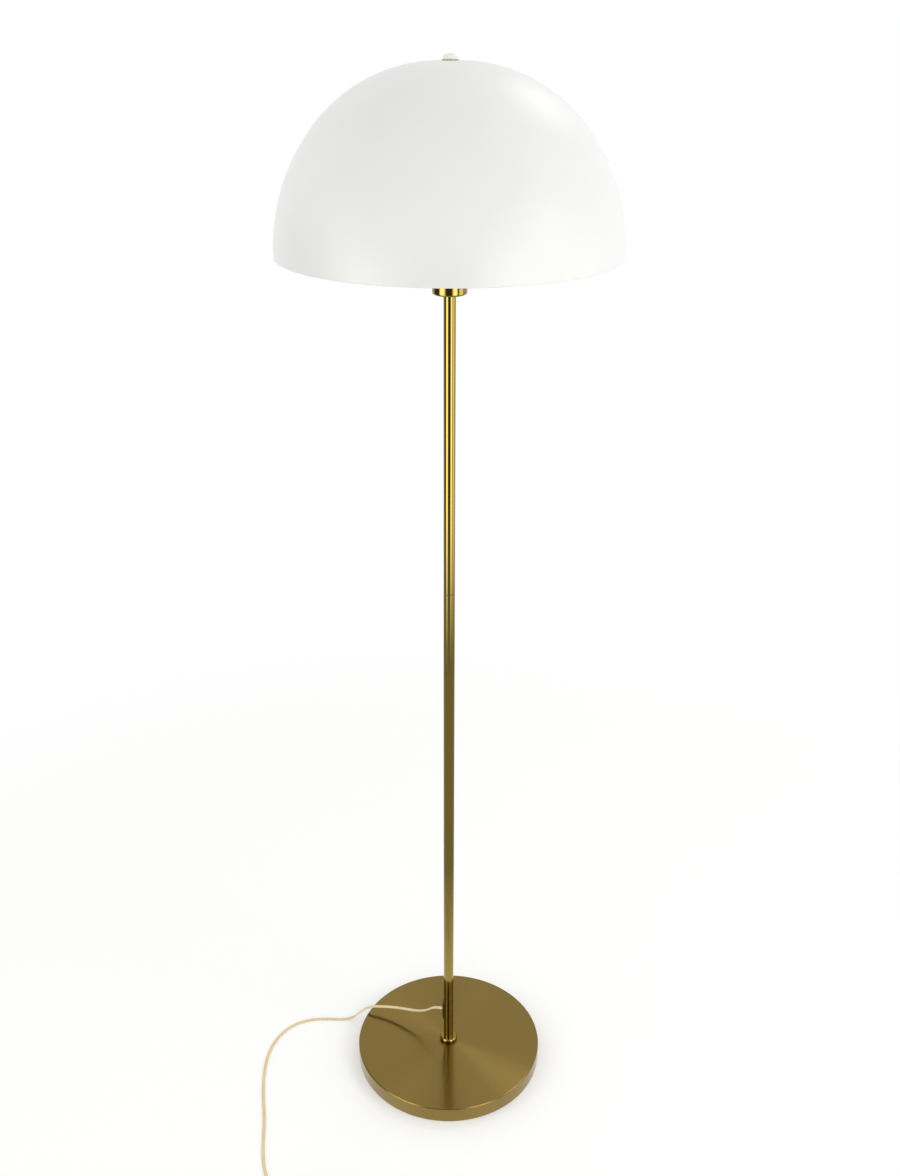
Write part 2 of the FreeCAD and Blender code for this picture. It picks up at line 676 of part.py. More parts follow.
def make_cord_grommet():
    """Oblong black bush: a tapered lip outside the tube and a plug in its slot."""
    body = new_body("cord_grommet")
    lip = new_sketch(body, "XZ_Plane")
    seat = dim.tube_radius + dim.fit_gap
    brink = seat + dim.grommet_edge
    half = dim.grommet_length / 2
    flat = half - dim.grommet_taper
    face = dim.tube_radius + dim.grommet_stand
    draw_outline(lip, [(-seat, -half), (-seat, half), (-brink, half), (-face, flat),
                       (-face, -flat), (-brink, -half)])
    feature = body.newObject("PartDesign::Revolution", "grommet_lip")
    feature.Profile = lip
    feature.ReferenceAxis = (lip, ["V_Axis"])
    bind(feature, "Angle", dim.grommet_sweep)
    feature.Midplane = True
    outside = -dim.tube_radius - dim.grommet_stand * 2
    through = dim.grommet_stand * 3 + dim.tube_wall
    trim = new_sketch(body, "YZ_Plane", outside)
    draw_box(trim, dim.grommet_length, dim.grommet_length * 2)
    draw_upright_slot(trim, dim.grommet_length, dim.grommet_width)
    pocketed(body, trim, through, upward=True)
    plug = new_sketch(body, "YZ_Plane", -brink)
    draw_upright_slot(plug, dim.outlet_slot_length - dim.outlet_slot_gap * 2,
                      dim.outlet_slot_width - dim.outlet_slot_gap * 2)
    padded(body, plug, dim.tube_wall + dim.grommet_edge * 2)
    hole = new_sketch(body, "YZ_Plane", outside)
    draw_circle(hole, dim.cord_hole)
    pocketed(body, hole, through, upward=True)
    place(body, z=dim.outlet_height)
    turn_outlet(body)


def make_stem_cable():
    """Cable in the stem, from the outlet up to the lampholder, and its two cores."""
    mouth = -float(dim.tube_radius + dim.cable_reach)
    height = float(dim.outlet_height)
    end = float(dim.tube_top + dim.cable_top)
    wire = rounded_wire([(mouth, 0, height), (0, 0, height), (0, 0, end)],
                        "stem_cable", float(dim.cable_bend))
    cable = shape_part("stem_cable", swept("stem_cable", wire, float(dim.cable_radius)))
    turn_outlet(cable)
    near = float(dim.core_pitch / 2)
    far = float(dim.terminal_offset)
    rise = float(dim.core_rise)
    terminal = float(insert_low)
    cores = []
    for side in (-1, 1):
        route = [(side * near, 0, end), (side * near, 0, end + rise),
                 (side * far, 0, terminal - rise), (side * far, 0, terminal)]
        core = rounded_wire(route, "core", float(dim.core_bend))
        cores.append(swept("core", core, float(dim.core_radius)))
    shape_part("cable_cores", Part.makeCompound(cores))


# ---------------------------------------------------------------- lampholder

cup_floor = dim.tube_top + dim.cup_wall
holder_low = cup_floor + dim.lock_washer_thickness + dim.cup_nut_height + dim.cup_nut_room
insert_low = holder_low + dim.holder_cap_height
cup_rim = dim.tube_top + dim.cup_height
ring_high = cup_rim + dim.carrier_ring_thickness


def make_holder_cup():
    """Brass cup that hides the lampholder."""
    inner = dim.cup_radius - dim.cup_wall
    body = turned("holder_cup", [
        (dim.rod_hole, 0), (dim.cup_radius, 0), (dim.cup_radius, dim.cup_height),
        (inner, dim.cup_height), (inner, dim.cup_wall), (dim.rod_hole, dim.cup_wall)],
        dim.tube_top)
    round_rings(body, [(dim.cup_radius, 0)], dim.cup_round)
    round_rings(body, [(inner, dim.cup_wall)], dim.cup_round - dim.cup_wall)


def make_cup_fixings():
    """Toothed washer and nut that clamp the cup to the stem."""
    toothed_washer("cup_lock_washer", cup_floor)
    hex_nut("cup_nut", dim.rod_nut_flats, dim.cup_nut_height, dim.thread_bore,
            cup_floor + dim.lock_washer_thickness)


def make_holder_cap():
    """Lower half of the lampholder, screwed on the nipple."""
    inner = dim.holder_radius - dim.holder_wall
    neck = dim.holder_neck_height
    turned("holder_cap", [
        (dim.thread_bore, 0), (dim.holder_neck, 0), (dim.holder_neck, neck),
        (dim.holder_radius, neck), (dim.holder_radius, dim.holder_cap_height),
        (inner, dim.holder_cap_height), (inner, neck + dim.holder_wall),
        (dim.thread_bore, neck + dim.holder_wall)], holder_low)


def make_holder_insert():
    """Heat-proof insert that carries the contacts, with two wire holes."""
    radius = dim.holder_radius - dim.holder_wall - dim.fit_gap
    body = turned("holder_insert", [(0, 0), (radius, 0), (radius, dim.insert_height),
                                    (0, dim.insert_height)], insert_low)
    for side in (-1, 1):
        sketch = new_sketch(body, "XY_Plane", dim.insert_height)
        draw_circle(sketch, dim.terminal_radius + dim.fit_gap, x=dim.terminal_offset * side)
        pocketed(body, sketch, dim.insert_height)


def make_terminal_screws():
    """Two screws that clamp the cores, standing in the insert."""
    screws = []
    for index, side in enumerate((-1, 1)):
        x = dim.terminal_offset * side
        screws.append(cylinder(f"terminal_screw{index}", dim.terminal_radius,
                               dim.insert_height, x, 0.0, insert_low))
    group("terminal_screws", screws)


def make_holder_sleeve():
    """Upper half of the lampholder, threaded outside for the ring nut."""
    inner = dim.holder_radius - dim.holder_wall
    turned("holder_sleeve", ring_outline(inner, dim.holder_radius, 0,
                                         dim.holder_sleeve_height), insert_low)


def make_screw_shell():
    """Threaded metal shell that the bulb screws into."""
    outer = dim.shell_radius + dim.shell_wall
    inner = dim.shell_radius
    turned("screw_shell", ring_outline(inner, outer, 0, dim.shell_height),
           insert_low + dim.insert_height + dim.shell_lift)


def make_centre_contact():
    """Brass tongue under the bulb's centre contact."""
    tongue = doc.addObject("Part::Box", "tongue")
    bind(tongue, "Length", dim.tongue_length)
    bind(tongue, "Width", dim.tongue_width)
    bind(tongue, "Height", dim.tongue_thickness)
    place(tongue, -dim.tongue_length / 2, -dim.tongue_width / 2,
          insert_low + dim.insert_height)
    nose = cylinder("tongue_nose", dim.tongue_width / 2 - dim.tongue_thickness, dim.tongue_nose,
                    z=insert_low + dim.insert_height)
    keep(fused([tongue, nose], "centre_contact_union"), "centre_contact")


# ---------------------------------------------------------------- shade carrier

shade_top = dim.shade_rim_height + dim.shade_height
shade_under = shade_top - dim.shade_wall
disc_high = shade_under - dim.soft_washer_thickness
disc_low = disc_high - dim.carrier_disc_thickness


def make_carrier_ring():
    """Steel ring of the shade carrier, clamped on the rim of the cup."""
    turned("carrier_ring", ring_outline(dim.holder_radius + dim.washer_gap, dim.carrier_ring_radius,
                                        0, dim.carrier_ring_thickness), cup_rim)


def make_holder_ring():
    """Ring nut with gripping notches that holds the carrier down."""
    body = turned("holder_ring", ring_outline(dim.holder_radius + dim.fit_gap, dim.ring_nut_radius,
                                              0, dim.ring_nut_height), ring_high)
    sketch = new_sketch(body, "XY_Plane", dim.ring_nut_height)
    draw_circle(sketch, dim.ring_nut_notch, x=dim.ring_nut_radius + dim.ring_nut_notch / 3)
    repeated(body, pocketed(body, sketch, dim.ring_nut_height), dim.ring_nut_notches)


def make_carrier_rods():
    """Two bowed rods from the ring up to the disc, left and right of the bulb."""
    low = float(ring_high)
    high = float(disc_low)
    rise = float(dim.arm_rise)
    spread = float(dim.arm_spread)
    fall = float(dim.arm_fall)
    rods = []
    for side in (-1, 1):
        foot = side * float(dim.arm_foot)
        bow = side * float(dim.arm_bow)
        head = side * float(dim.arm_head)
        route = [(foot, 0, low), (foot, 0, low + rise), (bow, 0, low + rise + spread),
                 (bow, 0, high - rise - fall), (head, 0, high - rise), (head, 0, high)]
        wire = rounded_wire(route, "carrier_rod", float(dim.arm_corner))
        rods.append(swept("carrier_rod", wire, float(dim.arm_radius)))
    shape_part("carrier_rods", Part.makeCompound(rods))


def make_carrier_head():
    """Disc under the shade with its stud, nut and soft washer."""
    bore = dim.stud_radius + dim.fit_gap
    turned("carrier_disc", ring_outline(bore, dim.carrier_disc_radius,
                                        0, dim.carrier_disc_thickness), disc_low)
    hex_nut("stud_nut", dim.stud_nut_flats, dim.stud_nut_height, bore,
            disc_low - dim.stud_nut_height)
    low = disc_low - dim.stud_nut_height - dim.stud_tail
    high = shade_top + dim.stud_above_shade
    stud = cylinder("stud_rod", dim.stud_radius, high - low, z=low)
    keep(stud, "shade_stud")
    turned("soft_washer", ring_outline(dim.stud_radius + dim.washer_gap, dim.soft_washer_radius,
                                       0, dim.soft_washer_thickness), disc_high)


# ---------------------------------------------------------------- shade and finial

def make_shade():
    """Opal dome: a wall arc and a shoulder arc, tangent, up to a small flat top."""
    body = new_body("shade")
    sketch = new_sketch(body, "XZ_Plane")
    rim = float(dim.shade_radius)
    high = float(dim.shade_height)
    flat = float(dim.shade_flat)
    shoulder = float(dim.shade_shoulder)
    across = rim - flat
    rise = high - shoulder
    wall = (across ** 2 + rise ** 2 - shoulder ** 2) / (2 * (across - shoulder))
    wall_centre = Vector(rim - wall, 0, 0)
    shoulder_centre = Vector(flat, rise, 0)
    meeting = (shoulder_centre - wall_centre).getAngle(Vector(1, 0, 0))
    ends = []
    for inset in (0.0, float(dim.shade_wall)):
        circle = Part.Circle(wall_centre, Vector(0, 0, 1), wall - inset)
        wall_edge = sketch.addGeometry(Part.ArcOfCircle(circle, 0, meeting))
        circle = Part.Circle(shoulder_centre, Vector(0, 0, 1), shoulder - inset)
        shoulder_edge = sketch.addGeometry(Part.ArcOfCircle(circle, meeting, math.pi / 2))
        hole = Vector(float(dim.shade_hole), high - inset, 0)
        top_edge = sketch.addGeometry(Part.LineSegment(Vector(flat, high - inset, 0), hole))
        ends.append((wall_edge, shoulder_edge, top_edge))
    for wall_edge, shoulder_edge, top_edge in ends:
        sketch.addConstraint(Sketcher.Constraint("Tangent", wall_edge, 2, shoulder_edge, 1))
        sketch.addConstraint(Sketcher.Constraint("Tangent", shoulder_edge, 2, top_edge, 1))
        sketch.addConstraint(Sketcher.Constraint("PointOnObject", wall_edge, 3, -1))
        sketch.addConstraint(Sketcher.Constraint("PointOnObject", wall_edge, 1, -1))
    for inset, (wall_edge, shoulder_edge, top_edge) in zip((0, dim.shade_wall), ends):
        hold(sketch, "DistanceX", -1, 1, wall_edge, 1, amount=dim.shade_radius - inset)
        hold(sketch, "Radius", shoulder_edge, amount=dim.shade_shoulder - inset)
        pin_point(sketch, top_edge, 2, dim.shade_hole, dim.shade_height - inset)
        hold(sketch, "DistanceX", -1, 1, shoulder_edge, 3, amount=dim.shade_flat)
    for edge, end, point in ((0, 1, ends[0][0]), (1, 2, ends[0][2])):
        other = ends[1][0] if edge == 0 else ends[1][2]
        first = Vector(rim, 0, 0) if edge == 0 else Vector(float(dim.shade_hole), high, 0)
        last = first - (Vector(float(dim.shade_wall), 0, 0) if edge == 0
                        else Vector(0, float(dim.shade_wall), 0))
        line = sketch.addGeometry(Part.LineSegment(first, last))
        sketch.addConstraint(Sketcher.Constraint("Coincident", line, 1, point, end))
        sketch.addConstraint(Sketcher.Constraint("Coincident", line, 2, other, end))
    feature = body.newObject("PartDesign::Revolution", "shade_turning")
    feature.Profile = sketch
    feature.ReferenceAxis = (sketch, ["V_Axis"])
    feature.Angle = 360.0
    rim_edges = [(dim.shade_radius, 0), (dim.shade_radius - dim.shade_wall, 0)]
    round_rings(body, rim_edges, dim.shade_rim_round)
    place(body, z=dim.shade_rim_height)


def make_finial():
    """Brass washer, and the domed knob with its brass thread."""
    turned("finial_washer", ring_outline(dim.shade_hole, dim.washer_radius,
                                         0, dim.washer_thickness), shade_top)
    knob_low = shade_top + dim.washer_thickness
    turned("knob_insert", ring_outline(dim.knob_thread, dim.knob_insert,
                                       0, dim.knob_thread_depth), knob_low)
    bore = dim.knob_insert + dim.fit_gap
    depth = dim.knob_thread_depth + dim.fit_gap
    body = turned("knob", [
        (bore, 0), (dim.knob_radius, 0),
        (dim.knob_radius, dim.knob_wall_height, dim.knob_dome, -1), (0, dim.knob_height),
        (0, depth), (bore, depth)], knob_low)
    round_rings(body, [(dim.knob_radius, dim.knob_wall_height)], dim.knob_round)


# ---------------------------------------------------------------- bulb

def make_bulb():
    """Screw bulb: centre contact, insulator, cap and glass."""
    insulator_low = dim.bulb_seat + dim.bulb_contact_height
    cap_low = insulator_low + dim.insulator_height
    cap_inner = dim.bulb_cap_radius - dim.bulb_cap_wall
    cap_floor = dim.bulb_cap_taper + dim.bulb_cap_wall
    glass_low = cap_low + dim.bulb_cap_height - dim.cap_lap
    turned("bulb_contact", [(0, 0), (dim.bulb_contact_radius - dim.contact_bevel, 0),
                            (dim.bulb_contact_radius, dim.bulb_contact_height),
                            (0, dim.bulb_contact_height)], dim.bulb_seat)
    turned("bulb_insulator", [(0, 0), (dim.bulb_contact_radius + dim.contact_bevel, 0),
                              (dim.insulator_radius, dim.insulator_height),
                              (0, dim.insulator_height)], insulator_low)
    turned("bulb_cap", [
        (0, 0), (dim.insulator_radius, 0), (dim.bulb_cap_radius, dim.bulb_cap_taper),
        (dim.bulb_cap_radius, dim.bulb_cap_height), (cap_inner, dim.bulb_cap_height),
        (cap_inner, cap_floor), (0, cap_floor)], cap_low)
    wall = dim.glass_wall
    stem = cap_inner - dim.fit_gap
    neck = dim.bulb_neck
    neck_low = dim.cap_lap + dim.washer_gap
    neck_high = neck_low + dim.bulb_flare
    middle = dim.cap_lap + dim.bulb_round_height
    drop = dim.bulb_round_height - dim.bulb_shoulder_height
    inner_share = 1 - wall / dim.bulb_round
    turned("bulb_glass", [
        (stem - wall, 0), (stem, 0), (stem, neck_low), (neck, neck_high),
        (dim.bulb_shoulder, middle - drop, dim.bulb_round, -1), (0, middle + dim.bulb_round),
        (0, middle + dim.bulb_round - wall, dim.bulb_round - wall, 1),
        (dim.bulb_shoulder * inner_share, middle - drop * inner_share),
        (neck - wall, neck_high + wall / 3), (stem - wall, neck_low + wall / 3)], glass_low)


# ---------------------------------------------------------------- foot switch

switch_x, switch_y = SWITCH_CENTRE
switch_split = dim.switch_low
roof_low = dim.switch_low + dim.switch_high - dim.switch_wall
flange_low = roof_low - dim.button_slack - dim.button_flange_height


def cord_notch(body):
    """Cuts the holes for the cord through both ends of a switch half."""
    sketch = new_sketch(body, "YZ_Plane")
    draw_circle(sketch, dim.cord_hole, y=switch_split)
    pocketed(body, sketch, dim.switch_length + 2, both_ways=True)


def make_switch_base():
    """Lower half of the foot switch, a tray with two screw posts."""
    body = new_body("switch_base")
    sketch = new_sketch(body, "XY_Plane")
    draw_slot(sketch, dim.switch_length, dim.switch_width)
    padded(body, sketch, dim.switch_low)
    tray = new_sketch(body, "XY_Plane", dim.switch_low)
    inset = dim.switch_wall * 2
    draw_slot(tray, dim.switch_length - inset, dim.switch_width - inset)
    pocketed(body, tray, dim.switch_low - dim.switch_wall)
    cord_notch(body)
    across = dim.switch_post_across
    for side in (-1, 1):
        along = dim.switch_post_along * side
        post = new_sketch(body, "XY_Plane")
        draw_circle(post, dim.switch_post_radius, along, across)
        padded(body, post, dim.switch_low)
        hole = new_sketch(body, "XY_Plane", dim.switch_low)
        draw_circle(hole, dim.switch_screw_radius + dim.fit_gap, along, across)
        pocketed(body, hole, dim.switch_low)
        sink = new_sketch(body, "XY_Plane")
        draw_circle(sink, dim.switch_screw_head + dim.fit_gap, along, across)
        pocketed(body, sink, dim.switch_screw_sink, upward=True)
    place(body, switch_x, switch_y)


def make_switch_cover():
    """Upper half of the foot switch, with the hole for its button."""
    body = new_body("switch_cover")
    sketch = new_sketch(body, "XY_Plane", switch_split)
    draw_slot(sketch, dim.switch_length, dim.switch_width)
    padded(body, sketch, dim.switch_high)
    round_top_edge(body, dim.switch_low + dim.switch_high, dim.switch_round)
    tray = new_sketch(body, "XY_Plane", switch_split)
    inset = dim.switch_wall * 2
    draw_slot(tray, dim.switch_length - inset, dim.switch_width - inset)
    pocketed(body, tray, dim.switch_high - dim.switch_wall, upward=True)
    cord_notch(body)
    across = dim.switch_post_across
    for side in (-1, 1):
        along = dim.switch_post_along * side
        post = new_sketch(body, "XY_Plane", switch_split)
        draw_circle(post, dim.switch_post_radius, along, across)
        padded(body, post, dim.switch_high - dim.switch_wall + dim.fit_gap)
        hole = new_sketch(body, "XY_Plane", switch_split)
        draw_circle(hole, dim.switch_screw_radius + dim.fit_gap, along, across)
        pocketed(body, hole, dim.switch_screw_grip, upward=True)
    opening = new_sketch(body, "XY_Plane", dim.switch_low + dim.switch_high)
    draw_circle(opening, dim.button_radius + dim.button_gap)
    pocketed(body, opening, dim.switch_wall * 2)
    place(body, switch_x, switch_y)


def round_top_edge(body, height, radius):
    """Rounds the outer edge of a body's top face."""
    doc.recompute()
    names = [f"Edge{index}" for index, edge in enumerate(body.Tip.Shape.Edges, start=1)
             if edge.BoundBox.ZMin > float(height) - 0.01]
    base = body.Tip
    feature = body.newObject("PartDesign::Fillet", body.Name + "_top_edge")
    feature.Base = (base, names)
    bind(feature, "Radius", radius)


def make_switch_button():
    """Push button with a flange that stays under the cover and a dished top."""
    high = dim.button_height + dim.button_flange_height
    body = turned("switch_button", [
        (0, 0), (dim.button_flange, 0), (dim.button_flange, dim.button_flange_height),
        (dim.button_radius, dim.button_flange_height), (dim.button_radius, high),
        (dim.button_radius - dim.button_rim, high, dim.button_dish, 1),
        (0, high - dim.button_hollow)], flange_low)
    place(body, switch_x, switch_y)


def make_switch_spring():
    """Coil spring that lifts the button."""
    wire_radius = float(dim.spring_wire)
    end = wire_radius + float(dim.plate_screw_gap)
    low = float(dim.switch_wall) + end
    high = float(flange_low) - end
    turns = float(dim.spring_turns)
    helix = Part.makeHelix((high - low) / turns, high - low, float(dim.spring_radius))
    helix.translate(Vector(switch_x, switch_y, low))
    shape_part("switch_spring", swept("switch_spring", Part.Wire(helix.Edges), wire_radius))


def make_switch_contacts():
    """Two brass contact strips on the floor of the switch."""
    strips = []
    for index, side in enumerate((-1, 1)):
        strip = doc.addObject("Part::Box", f"switch_strip{index}")
        bind(strip, "Length", dim.strip_length)
        bind(strip, "Width", dim.strip_width)
        bind(strip, "Height", dim.strip_height)
        place(strip, dim.strip_offset * side - dim.strip_length / 2 + switch_x,
              switch_y - dim.strip_width / 2, dim.switch_wall)
        strips.append(strip)
    group("switch_contacts", strips)


def make_switch_screws():
    """Two screws that hold the halves of the switch together."""
    screws = []
    for index, side in enumerate((-1, 1)):
        x = dim.switch_post_along * side + switch_x
        y = dim.switch_post_across + switch_y
        inset = dim.switch_screw_sink / 4
        head = cylinder(f"switch_screw_head{index}", dim.switch_screw_head,
                        dim.switch_screw_sink - inset, x, y, inset)
        shank = cylinder(f"switch_screw_shank{index}", dim.switch_screw_radius,
                         dim.switch_low + dim.switch_screw_grip - inset * 4, x, y, inset * 2)
        screws.append(fused([head, shank], f"switch_screw{index}"))
    group("switch_screws", screws)


# ---------------------------------------------------------------- plug

boot_x, plug_y = PLUG_BOOT_START
plug_middle = dim.plug_thickness / 2


def make_plug_body():
    """Flat moulded plug, widest at the pins, lying on the floor."""
    body = new_body("plug_body")
    sketch = new_sketch(body, "XY_Plane")
    tail = dim.plug_tail / 2
    half = dim.plug_width / 2
    long = dim.plug_length
    corner = half - dim.plug_round
    draw_outline(sketch, [(0, -tail), (long - dim.plug_nose, -half), (long, -corner),
                          (long, corner), (long - dim.plug_nose, half), (0, tail)])
    padded(body, sketch, dim.plug_thickness)
    doc.recompute()
    base = body.Tip
    names = [f"Edge{index}" for index, edge in enumerate(base.Shape.Edges, start=1)
             if edge.BoundBox.XMin < float(long) - 0.01 and edge.BoundBox.XMax > 0.01]
    feature = body.newObject("PartDesign::Fillet", "plug_rounding")
    feature.Base = (base, names)
    bind(feature, "Radius", dim.plug_round)
    place(body, dim.boot_length + boot_x, plug_y)


def make_plug_boot():
    """Tapered boot that keeps the cord from kinking at the plug."""
    body = new_body("plug_boot")
    sketch = new_sketch(body, "XY_Plane")
    thin = dim.cord_radius + dim.boot_wall
    bore = dim.cord_radius + dim.fit_gap
    long = dim.boot_length
    draw_outline(sketch, [(0, bore), (0, thin), (long, dim.boot_radius), (long, bore)])
    feature = body.newObject("PartDesign::Revolution", "boot_turning")
    feature.Profile = sketch
    feature.ReferenceAxis = (sketch, ["H_Axis"])
    feature.Angle = 360.0
    place(body, boot_x, plug_y, plug_middle)


def make_plug_pins():
    """Two round pins with insulating sleeves at their roots."""
    start = dim.plug_length + dim.boot_length + boot_x
    pins = []
    sleeves = []
    for index, side in enumerate((-1, 1)):
        y = dim.pin_pitch * (side / 2) + plug_y
        core = cylinder(f"pin_core{index}", dim.pin_core, dim.pin_sleeve + dim.weld,
                        start, y, plug_middle, along=(1, 0, 0))
        tip = cylinder(f"pin_tip{index}", dim.pin_radius, dim.pin_length - dim.pin_sleeve,
                       start + dim.pin_sleeve, y, plug_middle, along=(1, 0, 0))
        pins.append(fused([core, tip], f"pin{index}"))
        outer = cylinder(f"sleeve_outer{index}", dim.sleeve_radius, dim.pin_sleeve,
                         start, y, plug_middle, along=(1, 0, 0))
        bore = cylinder(f"sleeve_bore{index}", dim.pin_core, dim.pin_sleeve,
                        start, y, plug_middle, along=(1, 0, 0))
        sleeve = doc.addObject("Part::Cut", f"sleeve{index}")
        sleeve.Base = outer
        sleeve.Tool = bore
        sleeves.append(sleeve)
    group("plug_pins", pins)
    group("pin_sleeves", sleeves)


# ---------------------------------------------------------------- cord and coil

def coil_point(turn):
    """Place and direction on the coil after so many turns, running clockwise from the back.

    The lower layer spirals in, half a turn climbs, and the upper layer spirals out.
    """
    layer = float(dim.coil_layer_turns)
    pitch = float(dim.coil_pitch)
    inner = float(dim.coil_inner)
    lift = float(dim.coil_lift)
    climb = min(max((turn - layer) / 0.5, 0.0), 1.0)
    out = max(turn - layer - 0.5, 0.0)
    radius = inner + pitch * (max(layer - turn, 0.0) + out)
    height = lift + pitch * (1 - math.cos(math.pi * climb)) / 2
    angle = math.pi / 2 - 2 * math.pi * turn
    centre = Vector(COIL_CENTRE[0], COIL_CENTRE[1], 0)
    return centre + Vector(radius * math.cos(angle), radius * math.sin(angle), height)


def coil_way(turn):
    """Direction of travel on the coil, flat where a layer starts or ends."""
    step = 0.001
    layer = float(dim.coil_layer_turns)
    last = 2 * layer
    angle = math.pi / 2 - 2 * math.pi * turn
    if min(abs(turn - corner) for corner in (0, layer, layer + 0.5, last)) < step:
        return Vector(math.sin(angle), -math.cos(angle), 0)
    return (coil_point(turn + step) - coil_point(turn - step)).normalize()


def make_coil():
    """Coil of spare cord: one unbroken tube in two layers."""
    quarters = int(8 * float(dim.coil_layer_turns))
    edges = []
    for index in range(quarters):
        first = index / 4
        last = first + 0.25
        edges += biarc(coil_point(first), coil_way(first), coil_point(last), coil_way(last))
    wire = Part.Wire(edges)
    radius = float(dim.cord_radius)
    samples = [coil_point(step / 40) for step in range(int(80 * float(dim.coil_layer_turns)) + 1)]
    gaps = [(samples[i] - samples[j]).Length for i in range(len(samples))
            for j in range(i + 20, len(samples))]
    least = min(gaps) - 2 * radius
    print(f"cord_coil: {2 * float(dim.coil_layer_turns):.0f} turns, least gap {least:.2f}")
    if least < COIL_LEAST_GAP:
        raise RuntimeError("the coil's turns are too close")
    shape_part("cord_coil", swept("cord_coil", wire, radius))
    return wire.Length


def make_cord_tie():
    """Flat tie round all turns at the front of the coil."""
    body = new_body("cord_tie")
    turns = float(dim.coil_layer_turns)
    inner = dim.coil_inner - dim.cord_radius
    outer = dim.coil_inner + dim.coil_pitch * turns + dim.cord_radius
    low = dim.coil_lift - dim.cord_radius
    high = dim.coil_lift + dim.coil_pitch + dim.cord_radius
    for index, gap in enumerate((dim.tie_gap + dim.tie_thickness, dim.tie_gap)):
        sketch = new_sketch(body, "YZ_Plane")
        draw_outline(sketch, [(-outer - gap, low - gap), (-inner + gap, low - gap),
                              (-inner + gap, high + gap), (-outer - gap, high + gap)])
        if index == 0:
            padded(body, sketch, dim.tie_width, both_ways=True)
            doc.recompute()
            base = body.Tip
            long_edges = [f"Edge{number}" for number, edge in enumerate(base.Shape.Edges, start=1)
                          if edge.BoundBox.XLength > float(dim.tie_width) - 0.01]
            rounding = body.newObject("PartDesign::Fillet", "tie_rounding")
            rounding.Base = (base, long_edges)
            bind(rounding, "Radius", dim.tie_thickness)
        else:
            pocketed(body, sketch, dim.tie_width + 2, both_ways=True)
    place(body, COIL_CENTRE[0], COIL_CENTRE[1])


def make_cord():
    """The cord's free stretches, laid as plain tubes, and its coil."""
    radius = float(dim.cord_radius)
    total = make_coil() + float(dim.switch_length)
    for label, route in (("cord", CORD_ROUTE), ("cord_link", LINK_ROUTE), ("cord_tail", TAIL_ROUTE)):
        wire = rounded_wire(route, label)
        shape_part(label, swept(label, wire, radius))
        total += wire.Length
    print(f"cord from the grommet to the plug: {total:.0f} mm")


# ---------------------------------------------------------------- build

make_felt_pad()
make_bottom_plate()
make_plate_screws()
make_base_weight()
make_base_cover()
make_foot_fixings()
make_foot_collar()
make_lower_tube()
make_upper_tube()
make_stem_joints()
make_cord_grommet()
make_stem_cable()
make_holder_cup()
make_cup_fixings()
make_holder_cap()
make_holder_insert()
make_terminal_screws()
make_holder_sleeve()
make_screw_shell()
make_centre_contact()
make_carrier_ring()
make_holder_ring()
make_carrier_rods()
make_carrier_head()
make_shade()
make_finial()
make_bulb()
make_switch_base()
make_switch_cover()
make_switch_button()
make_switch_spring()
make_switch_contacts()
make_switch_screws()
make_plug_body()
make_plug_boot()
make_plug_pins()
make_cord_tie()
make_cord()

doc.recompute()
faults = [thing.Name for thing in doc.Objects
          if "Invalid" in thing.State or "Error" in thing.State]
for part in sub_parts:
    if part.Shape.isNull() or not part.Shape.isValid() or not part.Shape.Solids:
        faults.append(part.Label)
if faults:
    raise RuntimeError("faulty: " + ", ".join(faults))

os.makedirs("parts", exist_ok=True)
for part in sub_parts:
    if not re.fullmatch(r"[a-z0-9_]{1,59}", part.Label):
        raise RuntimeError("bad label " + part.Label)
    part.Shape.exportStep(f"parts/{part.Label}.step")
print(len(sub_parts), "sub-parts written")
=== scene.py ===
"""Mushroom floor lamp, dressed for its picture.

Metres, +Z up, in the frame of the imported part: the stem stands on the Z axis, the floor
is at z = 0, and the picture is taken from -Y. Each class below is one sub-assembly or one
finish of the lamp.
"""

import logging
import math
from collections.abc import Callable, Mapping, Sequence
from dataclasses import dataclass, field
from enum import Enum

import bpy
from mathutils import Matrix, Vector

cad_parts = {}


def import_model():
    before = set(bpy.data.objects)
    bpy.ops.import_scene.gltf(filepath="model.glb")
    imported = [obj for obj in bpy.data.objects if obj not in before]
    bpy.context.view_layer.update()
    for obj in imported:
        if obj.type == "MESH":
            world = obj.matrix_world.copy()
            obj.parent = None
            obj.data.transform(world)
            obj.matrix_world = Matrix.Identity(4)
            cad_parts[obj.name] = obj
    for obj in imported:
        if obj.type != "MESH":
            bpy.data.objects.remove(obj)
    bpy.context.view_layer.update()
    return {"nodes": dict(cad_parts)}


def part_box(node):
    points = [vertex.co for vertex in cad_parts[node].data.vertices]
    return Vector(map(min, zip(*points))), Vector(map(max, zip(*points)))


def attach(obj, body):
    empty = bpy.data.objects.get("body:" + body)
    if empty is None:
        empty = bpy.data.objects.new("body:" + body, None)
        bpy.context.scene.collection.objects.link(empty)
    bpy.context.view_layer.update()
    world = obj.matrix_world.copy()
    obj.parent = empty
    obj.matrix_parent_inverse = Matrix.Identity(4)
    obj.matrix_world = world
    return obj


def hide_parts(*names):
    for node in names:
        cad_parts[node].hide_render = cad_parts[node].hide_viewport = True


LOG = logging.getLogger("floor_lamp")
MM = 0.001
IMAGE_HEIGHT = 1176
# the Mix node has a set of sockets for each kind of value: these are the colour and number ones
MIX_A, MIX_B, MIX_OUT = 6, 7, 2
NUMBER_A, NUMBER_B = 2, 3

Value = float | Sequence[float] | bpy.types.NodeSocket
Inputs = Mapping[str | int, Value]
Section = list[tuple[float, float]]


# ---------------------------------------------------------------- colour and nodes

